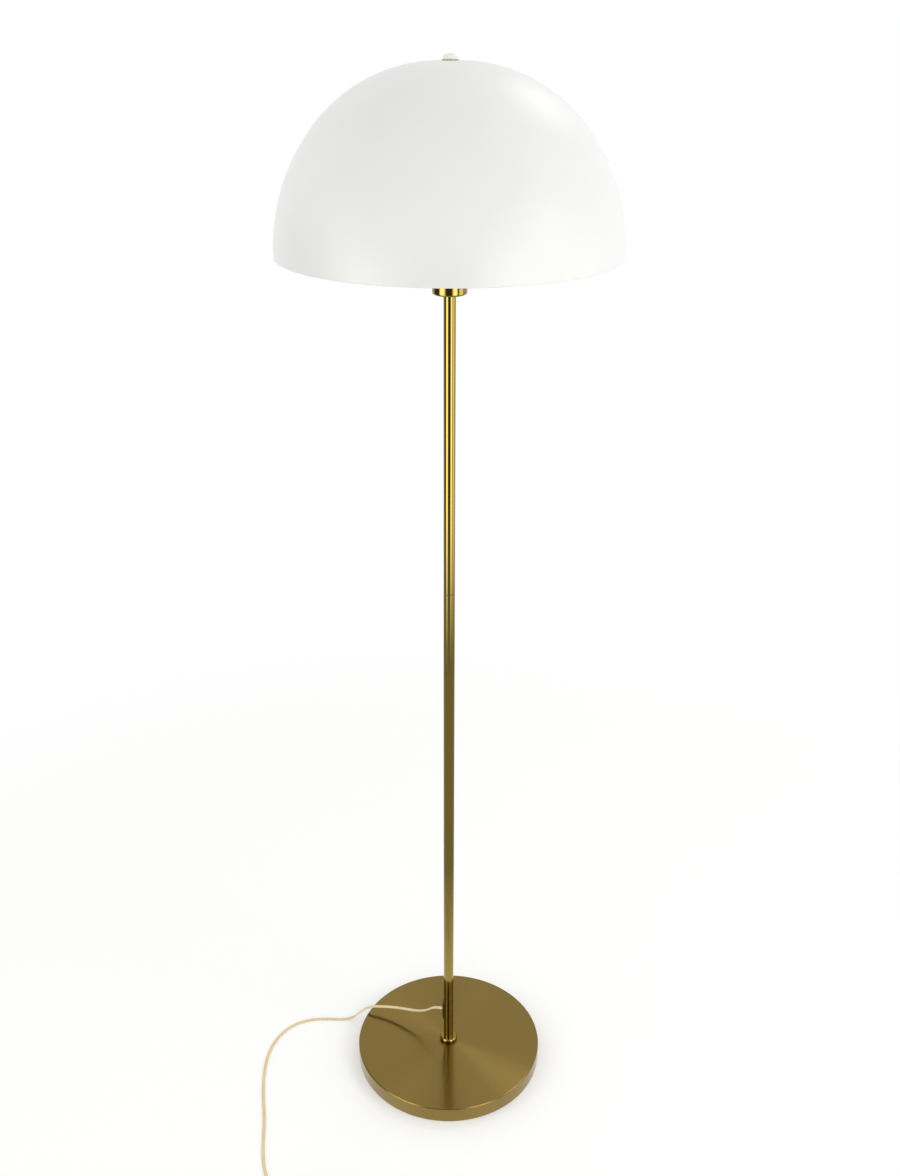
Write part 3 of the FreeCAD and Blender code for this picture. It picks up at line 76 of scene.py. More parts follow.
def linear(hex_colour: str) -> tuple[float, float, float, float]:
    """Turns an sRGB hex colour into linear red, green, blue and alpha.

    Args:
        hex_colour: six hex digits, such as "87703a".

    Returns:
        Linear RGBA with alpha 1.
    """
    channels = [int(hex_colour[start:start + 2], 16) / 255 for start in (0, 2, 4)]
    parts = [c / 12.92 if c <= 0.04045 else ((c + 0.055) / 1.055) ** 2.4 for c in channels]
    return parts[0], parts[1], parts[2], 1.0


def repeats(spacing_mm: float) -> float:
    """The texture scale, in repeats a metre, of a pattern with a real spacing.

    Args:
        spacing_mm: distance from one feature to the next, in millimetres.

    Returns:
        The scale for a texture read in metres.
    """
    return 1.0 / (spacing_mm * MM)


class Graph:
    """The node tree of a material or a world while it is being made."""

    def __init__(self, owner: bpy.types.Material | bpy.types.World) -> None:
        """Empties the owner's tree.

        Args:
            owner: the material or world that the tree belongs to.
        """
        owner.use_nodes = True
        self.tree = owner.node_tree
        self.tree.nodes.clear()

    def add(self, kind: str, inputs: Inputs | None = None, **settings: object) -> bpy.types.Node:
        """Adds a node, sets it up and links it.

        Args:
            kind: the node's type name.
            inputs: a number, colour or output socket for each input, by name or index.
            settings: the node's own options.

        Returns:
            The new node.
        """
        node = self.tree.nodes.new(kind)
        for name, setting in settings.items():
            setattr(node, name, setting)
        for key, value in (inputs or {}).items():
            if isinstance(value, bpy.types.NodeSocket):
                self.tree.links.new(value, node.inputs[key])
            else:
                node.inputs[key].default_value = value
        return node


# ---------------------------------------------------------------- finishes

class Finish:
    """A surface finish. Each kind says what it is made of and builds its shader."""

    def shader(self, graph: Graph) -> bpy.types.NodeSocket:
        """Builds the finish's nodes and returns the shader they end in.

        Args:
            graph: the material's node tree.

        Returns:
            The shader socket for the material's output.
        """
        raise NotImplementedError


@dataclass(frozen=True)
class SpunBrass(Finish):
    """Brass sheet spun on a lathe and lacquered, on the cover of the foot.

    The rings that the tool leaves spread light across themselves, which gives the
    wedges of sheen that turn with the light, and the lacquer adds a thin gloss.
    """

    metal: str = "86723a"
    shadow: str = "77612e"
    ring_mm: float = 0.7
    haze_mm: float = 45.0

    def shader(self, graph: Graph) -> bpy.types.NodeSocket:
        """Rings about Z in tone, roughness and relief, under a coat of lacquer.

        Args:
            graph: the material's node tree.

        Returns:
            The shader socket for the material's output.
        """
        point = graph.add("ShaderNodeTexCoord").outputs["Object"]
        flat = graph.add("ShaderNodeVectorMath", {0: point, 1: (1.0, 1.0, 0.0)},
                         operation="MULTIPLY").outputs["Vector"]
        radius = graph.add("ShaderNodeVectorMath", {0: flat}, operation="LENGTH").outputs["Value"]
        rings = graph.add("ShaderNodeTexNoise", {"W": radius, "Scale": repeats(self.ring_mm),
                                                 "Detail": 4.0, "Roughness": 0.7},
                          noise_dimensions="1D").outputs["Fac"]
        haze = graph.add("ShaderNodeTexNoise", {"Vector": point, "Scale": repeats(self.haze_mm),
                                                "Detail": 3.0}).outputs["Fac"]
        tone = graph.add("ShaderNodeMix", {0: rings, MIX_A: linear(self.shadow), MIX_B: linear(self.metal)},
                         data_type="RGBA").outputs[MIX_OUT]
        gloss = graph.add("ShaderNodeMapRange", {"Value": haze, "From Min": 0.3, "From Max": 0.7,
                                                 "To Min": 0.235, "To Max": 0.265}).outputs["Result"]
        relief = graph.add("ShaderNodeBump", {"Height": rings, "Strength": 0.12,
                                              "Distance": 0.05 * MM}).outputs["Normal"]
        tangent = graph.add("ShaderNodeTangent", direction_type="RADIAL", axis="Z").outputs[0]
        return graph.add("ShaderNodeBsdfPrincipled", {
            "Base Color": tone, "Metallic": 1.0, "Roughness": gloss, "Anisotropic": 0.95,
            "Anisotropic Rotation": 0.25, "Tangent": tangent, "Normal": relief,
            "Coat Weight": 0.15, "Coat Roughness": 0.05,
        }).outputs[0]


@dataclass(frozen=True)
class PolishedBrass(Finish):
    """Drawn brass tube and turned brass, buffed to a mirror and lacquered.

    It mirrors the room in hard stripes, a little softened along the tube by the buff.
    """

    metal: str = "8c7836"
    worn: str = "826e2d"
    buff_mm: float = 0.4
    touch_mm: float = 60.0
    roughness: float = 0.05

    def shader(self, graph: Graph) -> bpy.types.NodeSocket:
        """Long buffing marks and faint touch marks under a clear lacquer.

        Args:
            graph: the material's node tree.

        Returns:
            The shader socket for the material's output.
        """
        point = graph.add("ShaderNodeTexCoord").outputs["Object"]
        drawn = graph.add("ShaderNodeVectorMath", {0: point, 1: (1.0, 1.0, 0.02)},
                          operation="MULTIPLY").outputs["Vector"]
        buff = graph.add("ShaderNodeTexNoise", {"Vector": drawn, "Scale": repeats(self.buff_mm),
                                                "Detail": 2.0}).outputs["Fac"]
        touch = graph.add("ShaderNodeTexNoise", {"Vector": point, "Scale": repeats(self.touch_mm),
                                                 "Detail": 4.0}).outputs["Fac"]
        tone = graph.add("ShaderNodeMix", {0: touch, MIX_A: linear(self.worn), MIX_B: linear(self.metal)},
                         data_type="RGBA").outputs[MIX_OUT]
        gloss = graph.add("ShaderNodeMapRange", {
            "Value": touch, "From Min": 0.35, "From Max": 0.7,
            "To Min": self.roughness, "To Max": self.roughness * 2.4}).outputs["Result"]
        relief = graph.add("ShaderNodeBump", {"Height": buff, "Strength": 0.01,
                                              "Distance": 0.02 * MM}).outputs["Normal"]
        return graph.add("ShaderNodeBsdfPrincipled", {
            "Base Color": tone, "Metallic": 1.0, "Roughness": gloss, "Normal": relief,
            "Coat Weight": 0.3, "Coat IOR": 1.5, "Coat Roughness": 0.03,
        }).outputs[0]


@dataclass(frozen=True)
class TurnedBrass(Finish):
    """Brass turned from bar and left bare: bushes, terminals, the knob's thread."""

    metal: str = "c3a458"
    dull: str = "9c8147"
    cut_mm: float = 0.5

    def shader(self, graph: Graph) -> bpy.types.NodeSocket:
        """Fine tool rings along Z with patches that have dulled.

        Args:
            graph: the material's node tree.

        Returns:
            The shader socket for the material's output.
        """
        point = graph.add("ShaderNodeTexCoord").outputs["Object"]
        height = graph.add("ShaderNodeSeparateXYZ", {"Vector": point}).outputs["Z"]
        cut = graph.add("ShaderNodeTexNoise", {"W": height, "Scale": repeats(self.cut_mm)},
                        noise_dimensions="1D").outputs["Fac"]
        patch = graph.add("ShaderNodeTexNoise", {"Vector": point, "Scale": repeats(6.0),
                                                 "Detail": 5.0}).outputs["Fac"]
        tone = graph.add("ShaderNodeMix", {0: patch, MIX_A: linear(self.dull), MIX_B: linear(self.metal)},
                         data_type="RGBA").outputs[MIX_OUT]
        relief = graph.add("ShaderNodeBump", {"Height": cut, "Strength": 0.25,
                                              "Distance": 0.05 * MM}).outputs["Normal"]
        return graph.add("ShaderNodeBsdfPrincipled", {
            "Base Color": tone, "Metallic": 1.0, "Roughness": 0.32, "Normal": relief,
        }).outputs[0]


@dataclass(frozen=True)
class ZincPlate(Finish):
    """Steel with bright zinc plating, pale and faintly clouded.

    A threaded piece has its turns drawn at the real pitch.
    """

    metal: str = "c3c5c7"
    cloud: str = "a9adb4"
    cloud_mm: float = 9.0
    thread_mm: float = 0.0

    def shader(self, graph: Graph) -> bpy.types.NodeSocket:
        """Clouded plating, with thread turns along Z where there are any.

        Args:
            graph: the material's node tree.

        Returns:
            The shader socket for the material's output.
        """
        point = graph.add("ShaderNodeTexCoord").outputs["Object"]
        cloud = graph.add("ShaderNodeTexNoise", {"Vector": point, "Scale": repeats(self.cloud_mm),
                                                 "Detail": 6.0}).outputs["Fac"]
        tone = graph.add("ShaderNodeMix", {0: cloud, MIX_A: linear(self.cloud), MIX_B: linear(self.metal)},
                         data_type="RGBA").outputs[MIX_OUT]
        gloss = graph.add("ShaderNodeMapRange", {"Value": cloud, "To Min": 0.24, "To Max": 0.42})
        relief = graph.add("ShaderNodeBump", {"Height": cloud, "Strength": 0.1,
                                              "Distance": 0.05 * MM})
        if self.thread_mm:
            height = graph.add("ShaderNodeSeparateXYZ", {"Vector": point}).outputs["Z"]
            turn = graph.add("ShaderNodeMath", {0: height, 1: math.tau * repeats(self.thread_mm)},
                             operation="MULTIPLY").outputs[0]
            ridge = graph.add("ShaderNodeMath", {0: turn}, operation="SINE").outputs[0]
            relief = graph.add("ShaderNodeBump", {
                "Height": ridge, "Strength": 1.0, "Distance": self.thread_mm * MM / 5})
        return graph.add("ShaderNodeBsdfPrincipled", {
            "Base Color": tone, "Metallic": 1.0, "Roughness": gloss.outputs["Result"],
            "Normal": relief.outputs["Normal"],
        }).outputs[0]


@dataclass(frozen=True)
class NickelSheet(Finish):
    """Thin pressed sheet with nickel plating: bulb cap, screw shell, pins and spring.

    Where it is rolled into an E27 thread, the turns are drawn at their real pitch.
    """

    metal: str = "c2beb4"
    dull: str = "a29e95"
    thread_mm: float = 0.0

    def shader(self, graph: Graph) -> bpy.types.NodeSocket:
        """A warm grey plating with fine rubs, and the rolled thread where there is one.

        Args:
            graph: the material's node tree.

        Returns:
            The shader socket for the material's output.
        """
        point = graph.add("ShaderNodeTexCoord").outputs["Object"]
        rub = graph.add("ShaderNodeTexNoise", {"Vector": point, "Scale": repeats(1.8),
                                               "Detail": 7.0}).outputs["Fac"]
        tone = graph.add("ShaderNodeMix", {0: rub, MIX_A: linear(self.dull), MIX_B: linear(self.metal)},
                         data_type="RGBA").outputs[MIX_OUT]
        gloss = graph.add("ShaderNodeMapRange", {"Value": rub, "To Min": 0.16, "To Max": 0.34})
        height: Value = rub
        depth = 0.03
        if self.thread_mm:
            axes = graph.add("ShaderNodeSeparateXYZ", {"Vector": point})
            around = graph.add("ShaderNodeMath", {0: axes.outputs["Y"], 1: axes.outputs["X"]},
                               operation="ARCTAN2").outputs[0]
            climb = graph.add("ShaderNodeMath", {
                0: axes.outputs["Z"], 1: math.tau * repeats(self.thread_mm), 2: around},
                operation="MULTIPLY_ADD").outputs[0]
            height = graph.add("ShaderNodeMath", {0: climb}, operation="SINE").outputs[0]
            depth = self.thread_mm / 6
        relief = graph.add("ShaderNodeBump", {"Height": height, "Strength": 0.8,
                                              "Distance": depth * MM}).outputs["Normal"]
        return graph.add("ShaderNodeBsdfPrincipled", {
            "Base Color": tone, "Metallic": 1.0, "Roughness": gloss.outputs["Result"],
            "Normal": relief,
        }).outputs[0]


@dataclass(frozen=True)
class CastIron(Finish):
    """Sand-cast iron under black primer: matt, with the grain of the mould."""

    paint: str = "2b2a29"
    dust: str = "45423e"
    grain_mm: float = 1.1

    def shader(self, graph: Graph) -> bpy.types.NodeSocket:
        """Pitted relief with paler dust on the high grains.

        Args:
            graph: the material's node tree.

        Returns:
            The shader socket for the material's output.
        """
        point = graph.add("ShaderNodeTexCoord").outputs["Object"]
        grain = graph.add("ShaderNodeTexNoise", {"Vector": point, "Scale": repeats(self.grain_mm),
                                                 "Detail": 6.0}).outputs["Fac"]
        pits = graph.add("ShaderNodeTexVoronoi", {"Vector": point, "Scale": repeats(3.0)})
        tone = graph.add("ShaderNodeMix", {0: grain, MIX_A: linear(self.paint), MIX_B: linear(self.dust)},
                         data_type="RGBA").outputs[MIX_OUT]
        depth = graph.add("ShaderNodeMath", {0: grain, 1: pits.outputs["Distance"]},
                          operation="ADD").outputs[0]
        relief = graph.add("ShaderNodeBump", {"Height": depth, "Strength": 0.5,
                                              "Distance": 0.4 * MM}).outputs["Normal"]
        return graph.add("ShaderNodeBsdfPrincipled", {
            "Base Color": tone, "Roughness": 0.68, "IOR": 1.5, "Normal": relief,
        }).outputs[0]


@dataclass(frozen=True)
class PressedFelt(Finish):
    """Charcoal wool felt, pressed: short fibres in every direction, with no shine."""

    wool: str = "3b3a39"
    pale: str = "6c6a67"
    fibre_mm: float = 0.5
    tuft_mm: float = 5.0

    def shader(self, graph: Graph) -> bpy.types.NodeSocket:
        """Two crossed layers of stretched fibres over soft tufts.

        Args:
            graph: the material's node tree.

        Returns:
            The shader socket for the material's output.
        """
        point = graph.add("ShaderNodeTexCoord").outputs["Object"]
        layers = []
        for angle, stretch in ((0.6, (1.0, 0.14, 1.0)), (2.2, (1.0, 0.2, 1.0))):
            laid = graph.add("ShaderNodeMapping", {"Vector": point, "Rotation": (0, 0, angle),
                                                   "Scale": stretch}).outputs["Vector"]
            layers.append(graph.add("ShaderNodeTexNoise", {
                "Vector": laid, "Scale": repeats(self.fibre_mm), "Detail": 3.0,
                "Distortion": 0.6}).outputs["Fac"])
        tuft = graph.add("ShaderNodeTexNoise", {"Vector": point, "Scale": repeats(self.tuft_mm),
                                                "Detail": 4.0}).outputs["Fac"]
        fibres = graph.add("ShaderNodeMath", {0: layers[0], 1: layers[1]},
                           operation="MAXIMUM").outputs[0]
        both = graph.add("ShaderNodeMath", {0: fibres, 1: tuft}, operation="MULTIPLY").outputs[0]
        tone = graph.add("ShaderNodeMix", {0: both, MIX_A: linear(self.wool), MIX_B: linear(self.pale)},
                         data_type="RGBA").outputs[MIX_OUT]
        relief = graph.add("ShaderNodeBump", {"Height": fibres, "Strength": 0.7,
                                              "Distance": 0.4 * MM}).outputs["Normal"]
        return graph.add("ShaderNodeBsdfPrincipled", {
            "Base Color": tone, "Roughness": 0.95, "Sheen Weight": 0.5, "Sheen Roughness": 0.6,
            "Specular IOR Level": 0.2, "Normal": relief,
        }).outputs[0]


@dataclass(frozen=True)
class OpalAcrylic(Finish):
    """Opal acrylic sheet, drawn into a dome: milky white, satin, letting a little light in."""

    body: str = "f3f3f1"
    milk: str = "ededea"
    draw_mm: float = 90.0
    grain_mm: float = 0.8

    def shader(self, graph: Graph) -> bpy.types.NodeSocket:
        """An even milk white with a slow drift of tone and a satin skin.

        Args:
            graph: the material's node tree.

        Returns:
            The shader socket for the material's output.
        """
        point = graph.add("ShaderNodeTexCoord").outputs["Object"]
        drift = graph.add("ShaderNodeTexNoise", {"Vector": point, "Scale": repeats(self.draw_mm),
                                                 "Detail": 2.0}).outputs["Fac"]
        grain = graph.add("ShaderNodeTexNoise", {"Vector": point, "Scale": repeats(self.grain_mm),
                                                 "Detail": 2.0}).outputs["Fac"]
        tone = graph.add("ShaderNodeMix", {0: drift, MIX_A: linear(self.milk), MIX_B: linear(self.body)},
                         data_type="RGBA").outputs[MIX_OUT]
        gloss = graph.add("ShaderNodeMapRange", {"Value": drift, "To Min": 0.36, "To Max": 0.42})
        relief = graph.add("ShaderNodeBump", {"Height": grain, "Strength": 0.03,
                                              "Distance": 0.1 * MM}).outputs["Normal"]
        return graph.add("ShaderNodeBsdfPrincipled", {
            "Base Color": tone, "Roughness": gloss.outputs["Result"], "IOR": 1.49,
            "Subsurface Weight": 0.2, "Subsurface Radius": (1.0, 1.0, 0.96),
            "Subsurface Scale": 4 * MM, "Normal": relief,
        }).outputs[0]


@dataclass(frozen=True)
class MouldedPlastic(Finish):
    """White thermoplastic from a mould, with a fine spark-eroded grain.

    Nylon is a little glossier and PVC a little softer. Both pick up a trace of dust.
    """

    body: str = "efeee9"
    dust: str = "dedbd2"
    roughness: float = 0.38
    index: float = 1.53
    grain_mm: float = 0.6
    relief: float = 0.12

    def shader(self, graph: Graph) -> bpy.types.NodeSocket:
        """Even colour, an eroded grain and slow patches of handling.

        Args:
            graph: the material's node tree.

        Returns:
            The shader socket for the material's output.
        """
        point = graph.add("ShaderNodeTexCoord").outputs["Object"]
        grain = graph.add("ShaderNodeTexNoise", {"Vector": point, "Scale": repeats(self.grain_mm),
                                                 "Detail": 4.0}).outputs["Fac"]
        patch = graph.add("ShaderNodeTexNoise", {"Vector": point, "Scale": repeats(14.0),
                                                 "Detail": 5.0}).outputs["Fac"]
        share = graph.add("ShaderNodeMapRange", {"Value": patch, "From Min": 0.45, "From Max": 0.8})
        tone = graph.add("ShaderNodeMix", {0: share.outputs["Result"], MIX_A: linear(self.body),
                                           MIX_B: linear(self.dust)}, data_type="RGBA").outputs[MIX_OUT]
        gloss = graph.add("ShaderNodeMapRange", {
            "Value": patch, "To Min": self.roughness * 0.85, "To Max": self.roughness * 1.2})
        relief = graph.add("ShaderNodeBump", {"Height": grain, "Strength": self.relief,
                                              "Distance": 0.1 * MM}).outputs["Normal"]
        return graph.add("ShaderNodeBsdfPrincipled", {
            "Base Color": tone, "Roughness": gloss.outputs["Result"], "IOR": self.index,
            "Subsurface Weight": 0.08, "Subsurface Scale": 1 * MM, "Normal": relief,
        }).outputs[0]


@dataclass(frozen=True)
class Rubber(Finish):
    """Black synthetic rubber, moulded: nearly matt, a little bloomed."""

    body: str = "191817"
    bloom: str = "2f2d2b"
    grain_mm: float = 0.9

    def shader(self, graph: Graph) -> bpy.types.NodeSocket:
        """A dull black with a paler bloom on the grain.

        Args:
            graph: the material's node tree.

        Returns:
            The shader socket for the material's output.
        """
        point = graph.add("ShaderNodeTexCoord").outputs["Object"]
        grain = graph.add("ShaderNodeTexNoise", {"Vector": point, "Scale": repeats(self.grain_mm),
                                                 "Detail": 6.0}).outputs["Fac"]
        tone = graph.add("ShaderNodeMix", {0: grain, MIX_A: linear(self.body), MIX_B: linear(self.bloom)},
                         data_type="RGBA").outputs[MIX_OUT]
        relief = graph.add("ShaderNodeBump", {"Height": grain, "Strength": 0.3,
                                              "Distance": 0.1 * MM}).outputs["Normal"]
        return graph.add("ShaderNodeBsdfPrincipled", {
            "Base Color": tone, "Roughness": 0.55, "IOR": 1.52, "Normal": relief,
        }).outputs[0]


@dataclass(frozen=True)
class ClearFlex(Finish):
    """Clear PVC twin flex over gilt strands: cream from afar, twisted gold close to.

    Its map runs round the section in the first number and along the cord, in
    millimetres, in the second. The strands are drawn coarser than life, or they
    would not show.
    """

    strand: str = "efdcab"
    # groove: darker tone between the strands, painted shade in the creases of the twist
    groove: str = "b8944e"
    lay_mm: float = 3.2
    strands: int = 6

    def shader(self, graph: Graph) -> bpy.types.NodeSocket:
        """Twisted strands seen through a glossy clear sheath, with painted shade in the grooves between
        them.

        Args:
            graph: the material's node tree.

        Returns:
            The shader socket for the material's output.
        """
        around = graph.add("ShaderNodeUVMap", uv_map="flex").outputs["UV"]
        axes = graph.add("ShaderNodeSeparateXYZ", {"Vector": around})
        turn = graph.add("ShaderNodeMath", {0: axes.outputs["X"], 1: math.tau * self.strands},
                         operation="MULTIPLY").outputs[0]
        twist = graph.add("ShaderNodeMath", {0: axes.outputs["Y"], 1: math.tau / self.lay_mm, 2: turn},
                          operation="MULTIPLY_ADD").outputs[0]
        wave = graph.add("ShaderNodeMath", {0: twist}, operation="SINE").outputs[0]
        share = graph.add("ShaderNodeMapRange", {"Value": wave, "From Min": -1.0, "From Max": 0.2})
        point = graph.add("ShaderNodeTexCoord").outputs["Object"]
        age = graph.add("ShaderNodeTexNoise", {"Vector": point, "Scale": repeats(25.0),
                                               "Detail": 3.0}).outputs["Fac"]
        # painted shade: the twist pattern darkens the grooves between the strands
        gilt = graph.add("ShaderNodeMix", {0: share.outputs["Result"], MIX_A: linear(self.groove),
                                           MIX_B: linear(self.strand)}, data_type="RGBA").outputs[MIX_OUT]
        tone = graph.add("ShaderNodeMix", {0: age, MIX_A: gilt, MIX_B: linear(self.strand)},
                         data_type="RGBA").outputs[MIX_OUT]
        relief = graph.add("ShaderNodeBump", {"Height": wave, "Strength": 0.25,
                                              "Distance": 0.06 * MM}).outputs["Normal"]
        return graph.add("ShaderNodeBsdfPrincipled", {
            "Base Color": tone, "Roughness": 0.36, "IOR": 1.53, "Normal": relief,
            "Coat Weight": 1.0, "Coat IOR": 1.53, "Coat Roughness": 0.06,
        }).outputs[0]


@dataclass(frozen=True)
class SheathedCable(Finish):
    """The same clear flex inside the stem and at the terminals, with its strands along Z."""

    strand: str = "e6cf95"
    # groove: darker tone between the strands, painted shade in the creases of the twist
    groove: str = "a97c44"
    lay_mm: float = 2.4

    def shader(self, graph: Graph) -> bpy.types.NodeSocket:
        """Slanted strands under a gloss, with painted shade in the grooves between them.

        Args:
            graph: the material's node tree.

        Returns:
            The shader socket for the material's output.
        """
        point = graph.add("ShaderNodeTexCoord").outputs["Object"]
        strands = graph.add("ShaderNodeTexWave", {
            "Vector": point, "Scale": repeats(self.lay_mm) / math.tau, "Distortion": 0.4},
            wave_type="BANDS", bands_direction="DIAGONAL").outputs["Fac"]
        # painted shade: the bands darken the grooves between the strands
        tone = graph.add("ShaderNodeMix", {0: strands, MIX_A: linear(self.groove),
                                           MIX_B: linear(self.strand)}, data_type="RGBA").outputs[MIX_OUT]
        return graph.add("ShaderNodeBsdfPrincipled", {
            "Base Color": tone, "Roughness": 0.4, "IOR": 1.53,
            "Coat Weight": 1.0, "Coat Roughness": 0.08,
        }).outputs[0]


@dataclass(frozen=True)
class OpalGlass(Finish):
    """Blown glass, white inside: a bulb with a hard, clear gloss over milk."""

    milk: str = "f4f3ee"
    shade: str = "e9e7e0"

    def shader(self, graph: Graph) -> bpy.types.NodeSocket:
        """A milky body under a sharp gloss, faintly uneven from blowing.

        Args:
            graph: the material's node tree.

        Returns:
            The shader socket for the material's output.
        """
        point = graph.add("ShaderNodeTexCoord").outputs["Object"]
        drift = graph.add("ShaderNodeTexNoise", {"Vector": point, "Scale": repeats(22.0),
                                                 "Detail": 2.0}).outputs["Fac"]
        tone = graph.add("ShaderNodeMix", {0: drift, MIX_A: linear(self.shade), MIX_B: linear(self.milk)},
                         data_type="RGBA").outputs[MIX_OUT]
        relief = graph.add("ShaderNodeBump", {"Height": drift, "Strength": 0.05,
                                              "Distance": 0.3 * MM}).outputs["Normal"]
        return graph.add("ShaderNodeBsdfPrincipled", {
            "Base Color": tone, "Roughness": 0.08, "IOR": 1.52, "Subsurface Weight": 0.3,
            "Subsurface Scale": 3 * MM, "Coat Weight": 0.5, "Coat Roughness": 0.02,
            "Normal": relief,
        }).outputs[0]


@dataclass(frozen=True)
class FusedGlass(Finish):
    """Black glass fused into the end of the bulb's cap: glossy, with small bubbles."""

    body: str = "141417"
    bubble: str = "303036"

    def shader(self, graph: Graph) -> bpy.types.NodeSocket:
        """Black gloss with paler bubbles.

        Args:
            graph: the material's node tree.

        Returns:
            The shader socket for the material's output.
        """
        point = graph.add("ShaderNodeTexCoord").outputs["Object"]
        cells = graph.add("ShaderNodeTexVoronoi", {"Vector": point, "Scale": repeats(1.4)})
        share = graph.add("ShaderNodeMapRange", {"Value": cells.outputs["Distance"],
                                                 "From Min": 0.0, "From Max": 0.3,
                                                 "To Min": 1.0, "To Max": 0.0})
        tone = graph.add("ShaderNodeMix", {0: share.outputs["Result"], MIX_A: linear(self.body),
                                           MIX_B: linear(self.bubble)}, data_type="RGBA").outputs[MIX_OUT]
        return graph.add("ShaderNodeBsdfPrincipled", {
            "Base Color": tone, "Roughness": 0.12, "IOR": 1.52}).outputs[0]


SPUN_BRASS = SpunBrass()
POLISHED_BRASS = PolishedBrass()
TURNED_BRASS = TurnedBrass()
ZINC = ZincPlate()
ROD_THREAD = ZincPlate(thread_mm=1.0)
STUD_THREAD = ZincPlate(thread_mm=1.25)
NICKEL = NickelSheet()
BULB_THREAD = NickelSheet(thread_mm=3.63)
IRON = CastIron()
FELT = PressedFelt()
OPAL_ACRYLIC = OpalAcrylic()
NYLON = MouldedPlastic(body="f6f5f1", dust="edebe5", roughness=0.2, relief=0.04)
PVC = MouldedPlastic()
THERMOSET = MouldedPlastic(body="e9e6de", dust="d5d0c5", roughness=0.46, index=1.6)
RUBBER = Rubber()
FLEX = ClearFlex()
CABLE = SheathedCable()
COPPER = TurnedBrass(metal="d08a5c", dull="a9653d", cut_mm=0.8)
OPAL_GLASS = OpalGlass()
FUSED_GLASS = FusedGlass()


@dataclass
class Wardrobe:
    """Makes each finish into a material once, and puts it on CAD nodes and pieces."""

    nodes: Mapping[str, bpy.types.Object]
    made: dict[Finish, bpy.types.Material] = field(default_factory=dict)
    dressed: set[str] = field(default_factory=set)

    def material(self, finish: Finish) -> bpy.types.Material:
        """The one material of a finish.

        Args:
            finish: the finish wanted.

        Returns:
            Its material, made on the first call.
        """
        if finish not in self.made:
            title = type(finish).__name__
            material = bpy.data.materials.new(f"{title}_{len(self.made)}")
            graph = Graph(material)
            graph.add("ShaderNodeOutputMaterial", {"Surface": finish.shader(graph)})
            self.made[finish] = material
        return self.made[finish]

    def dress_nodes(self, finish: Finish, *names: str) -> None:
        """Puts a finish on CAD nodes.

        Args:
            finish: the finish to use.
            names: the nodes' names.
        """
        for name in names:
            for slot in self.nodes[name].material_slots:
                slot.material = self.material(finish)
            self.dressed.add(name)

    def dress_piece(self, piece: bpy.types.Object, finish: Finish,
                    body: str = "root", replaces: Sequence[str] = ()) -> None:
        """Puts a finish on a new piece and ties the piece to the frame.

        Args:
            piece: the new object.
            finish: the finish to use.
            body: the CAD body that the piece moves with.
            replaces: the CAD nodes that the piece stands for.
        """
        piece.data.materials.clear()
        piece.data.materials.append(self.material(finish))
        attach(piece, body)
        if replaces:
            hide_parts(*replaces)
            self.dressed.update(replaces)
        LOG.info("piece %s rides on %s", piece.name, body)

    def check_all_dressed(self) -> None:
        """Stops the script if a CAD node has been left without a finish."""
        missing = set(self.nodes) - self.dressed
        if missing:
            raise RuntimeError("nodes without a finish: " + ", ".join(sorted(missing)))


# ---------------------------------------------------------------- mesh making

def mesh_object(name: str, points: Sequence[Vector], faces: Sequence[Sequence[int]]
                ) -> bpy.types.Object:
    """A smooth-shaded mesh object in the scene.

    Args:
        name: the object's name.
        points: its vertices, in metres.
        faces: vertex indices of each face.

    Returns:
        The new object.
    """
    mesh = bpy.data.meshes.new(name)
    mesh.from_pydata([tuple(point) for point in points], [], [list(face) for face in faces])
    mesh.validate()
    mesh.shade_smooth()
    piece = bpy.data.objects.new(name, mesh)
    bpy.context.scene.collection.objects.link(piece)
    return piece


def frames_along(path: Sequence[Vector]) -> list[tuple[Vector, Vector, Vector]]:
    """A point, a level side direction and an upward direction at each point of a path.

    Args:
        path: the points, none of whose runs is vertical.

    Returns:
        One (point, side, up) for each point.
    """
    frames = []
    for index, point in enumerate(path):
        ahead = path[min(index + 1, len(path) - 1)] - path[max(index - 1, 0)]
        side = ahead.cross(Vector((0, 0, 1))).normalized()
        up = side.cross(ahead).normalized()
        frames.append((point, side, up))
    return frames


def distances(path: Sequence[Vector]) -> list[float]:
    """How far along the path each of its points is, in metres.

    Args:
        path: the points.

    Returns:
        Running lengths, starting at 0.
    """
    total = 0.0
    along = [0.0]
    for start, end in zip(path, path[1:]):
        total += (end - start).length
        along.append(total)
    return along


def resampled(path: Sequence[Vector], count: int) -> list[Vector]:
    """Evenly spaced points along a path.

    Args:
        path: the points to follow.
        count: how many spaces.

    Returns:
        count + 1 points.
    """
    along = distances(path)
    points = []
    index = 0
    for step in range(count + 1):
        wanted = along[-1] * step / count
        while index < len(along) - 2 and along[index + 1] < wanted:
            index += 1
        share = (wanted - along[index]) / (along[index + 1] - along[index])
        points.append(path[index].lerp(path[index + 1], min(share, 1.0)))
    return points


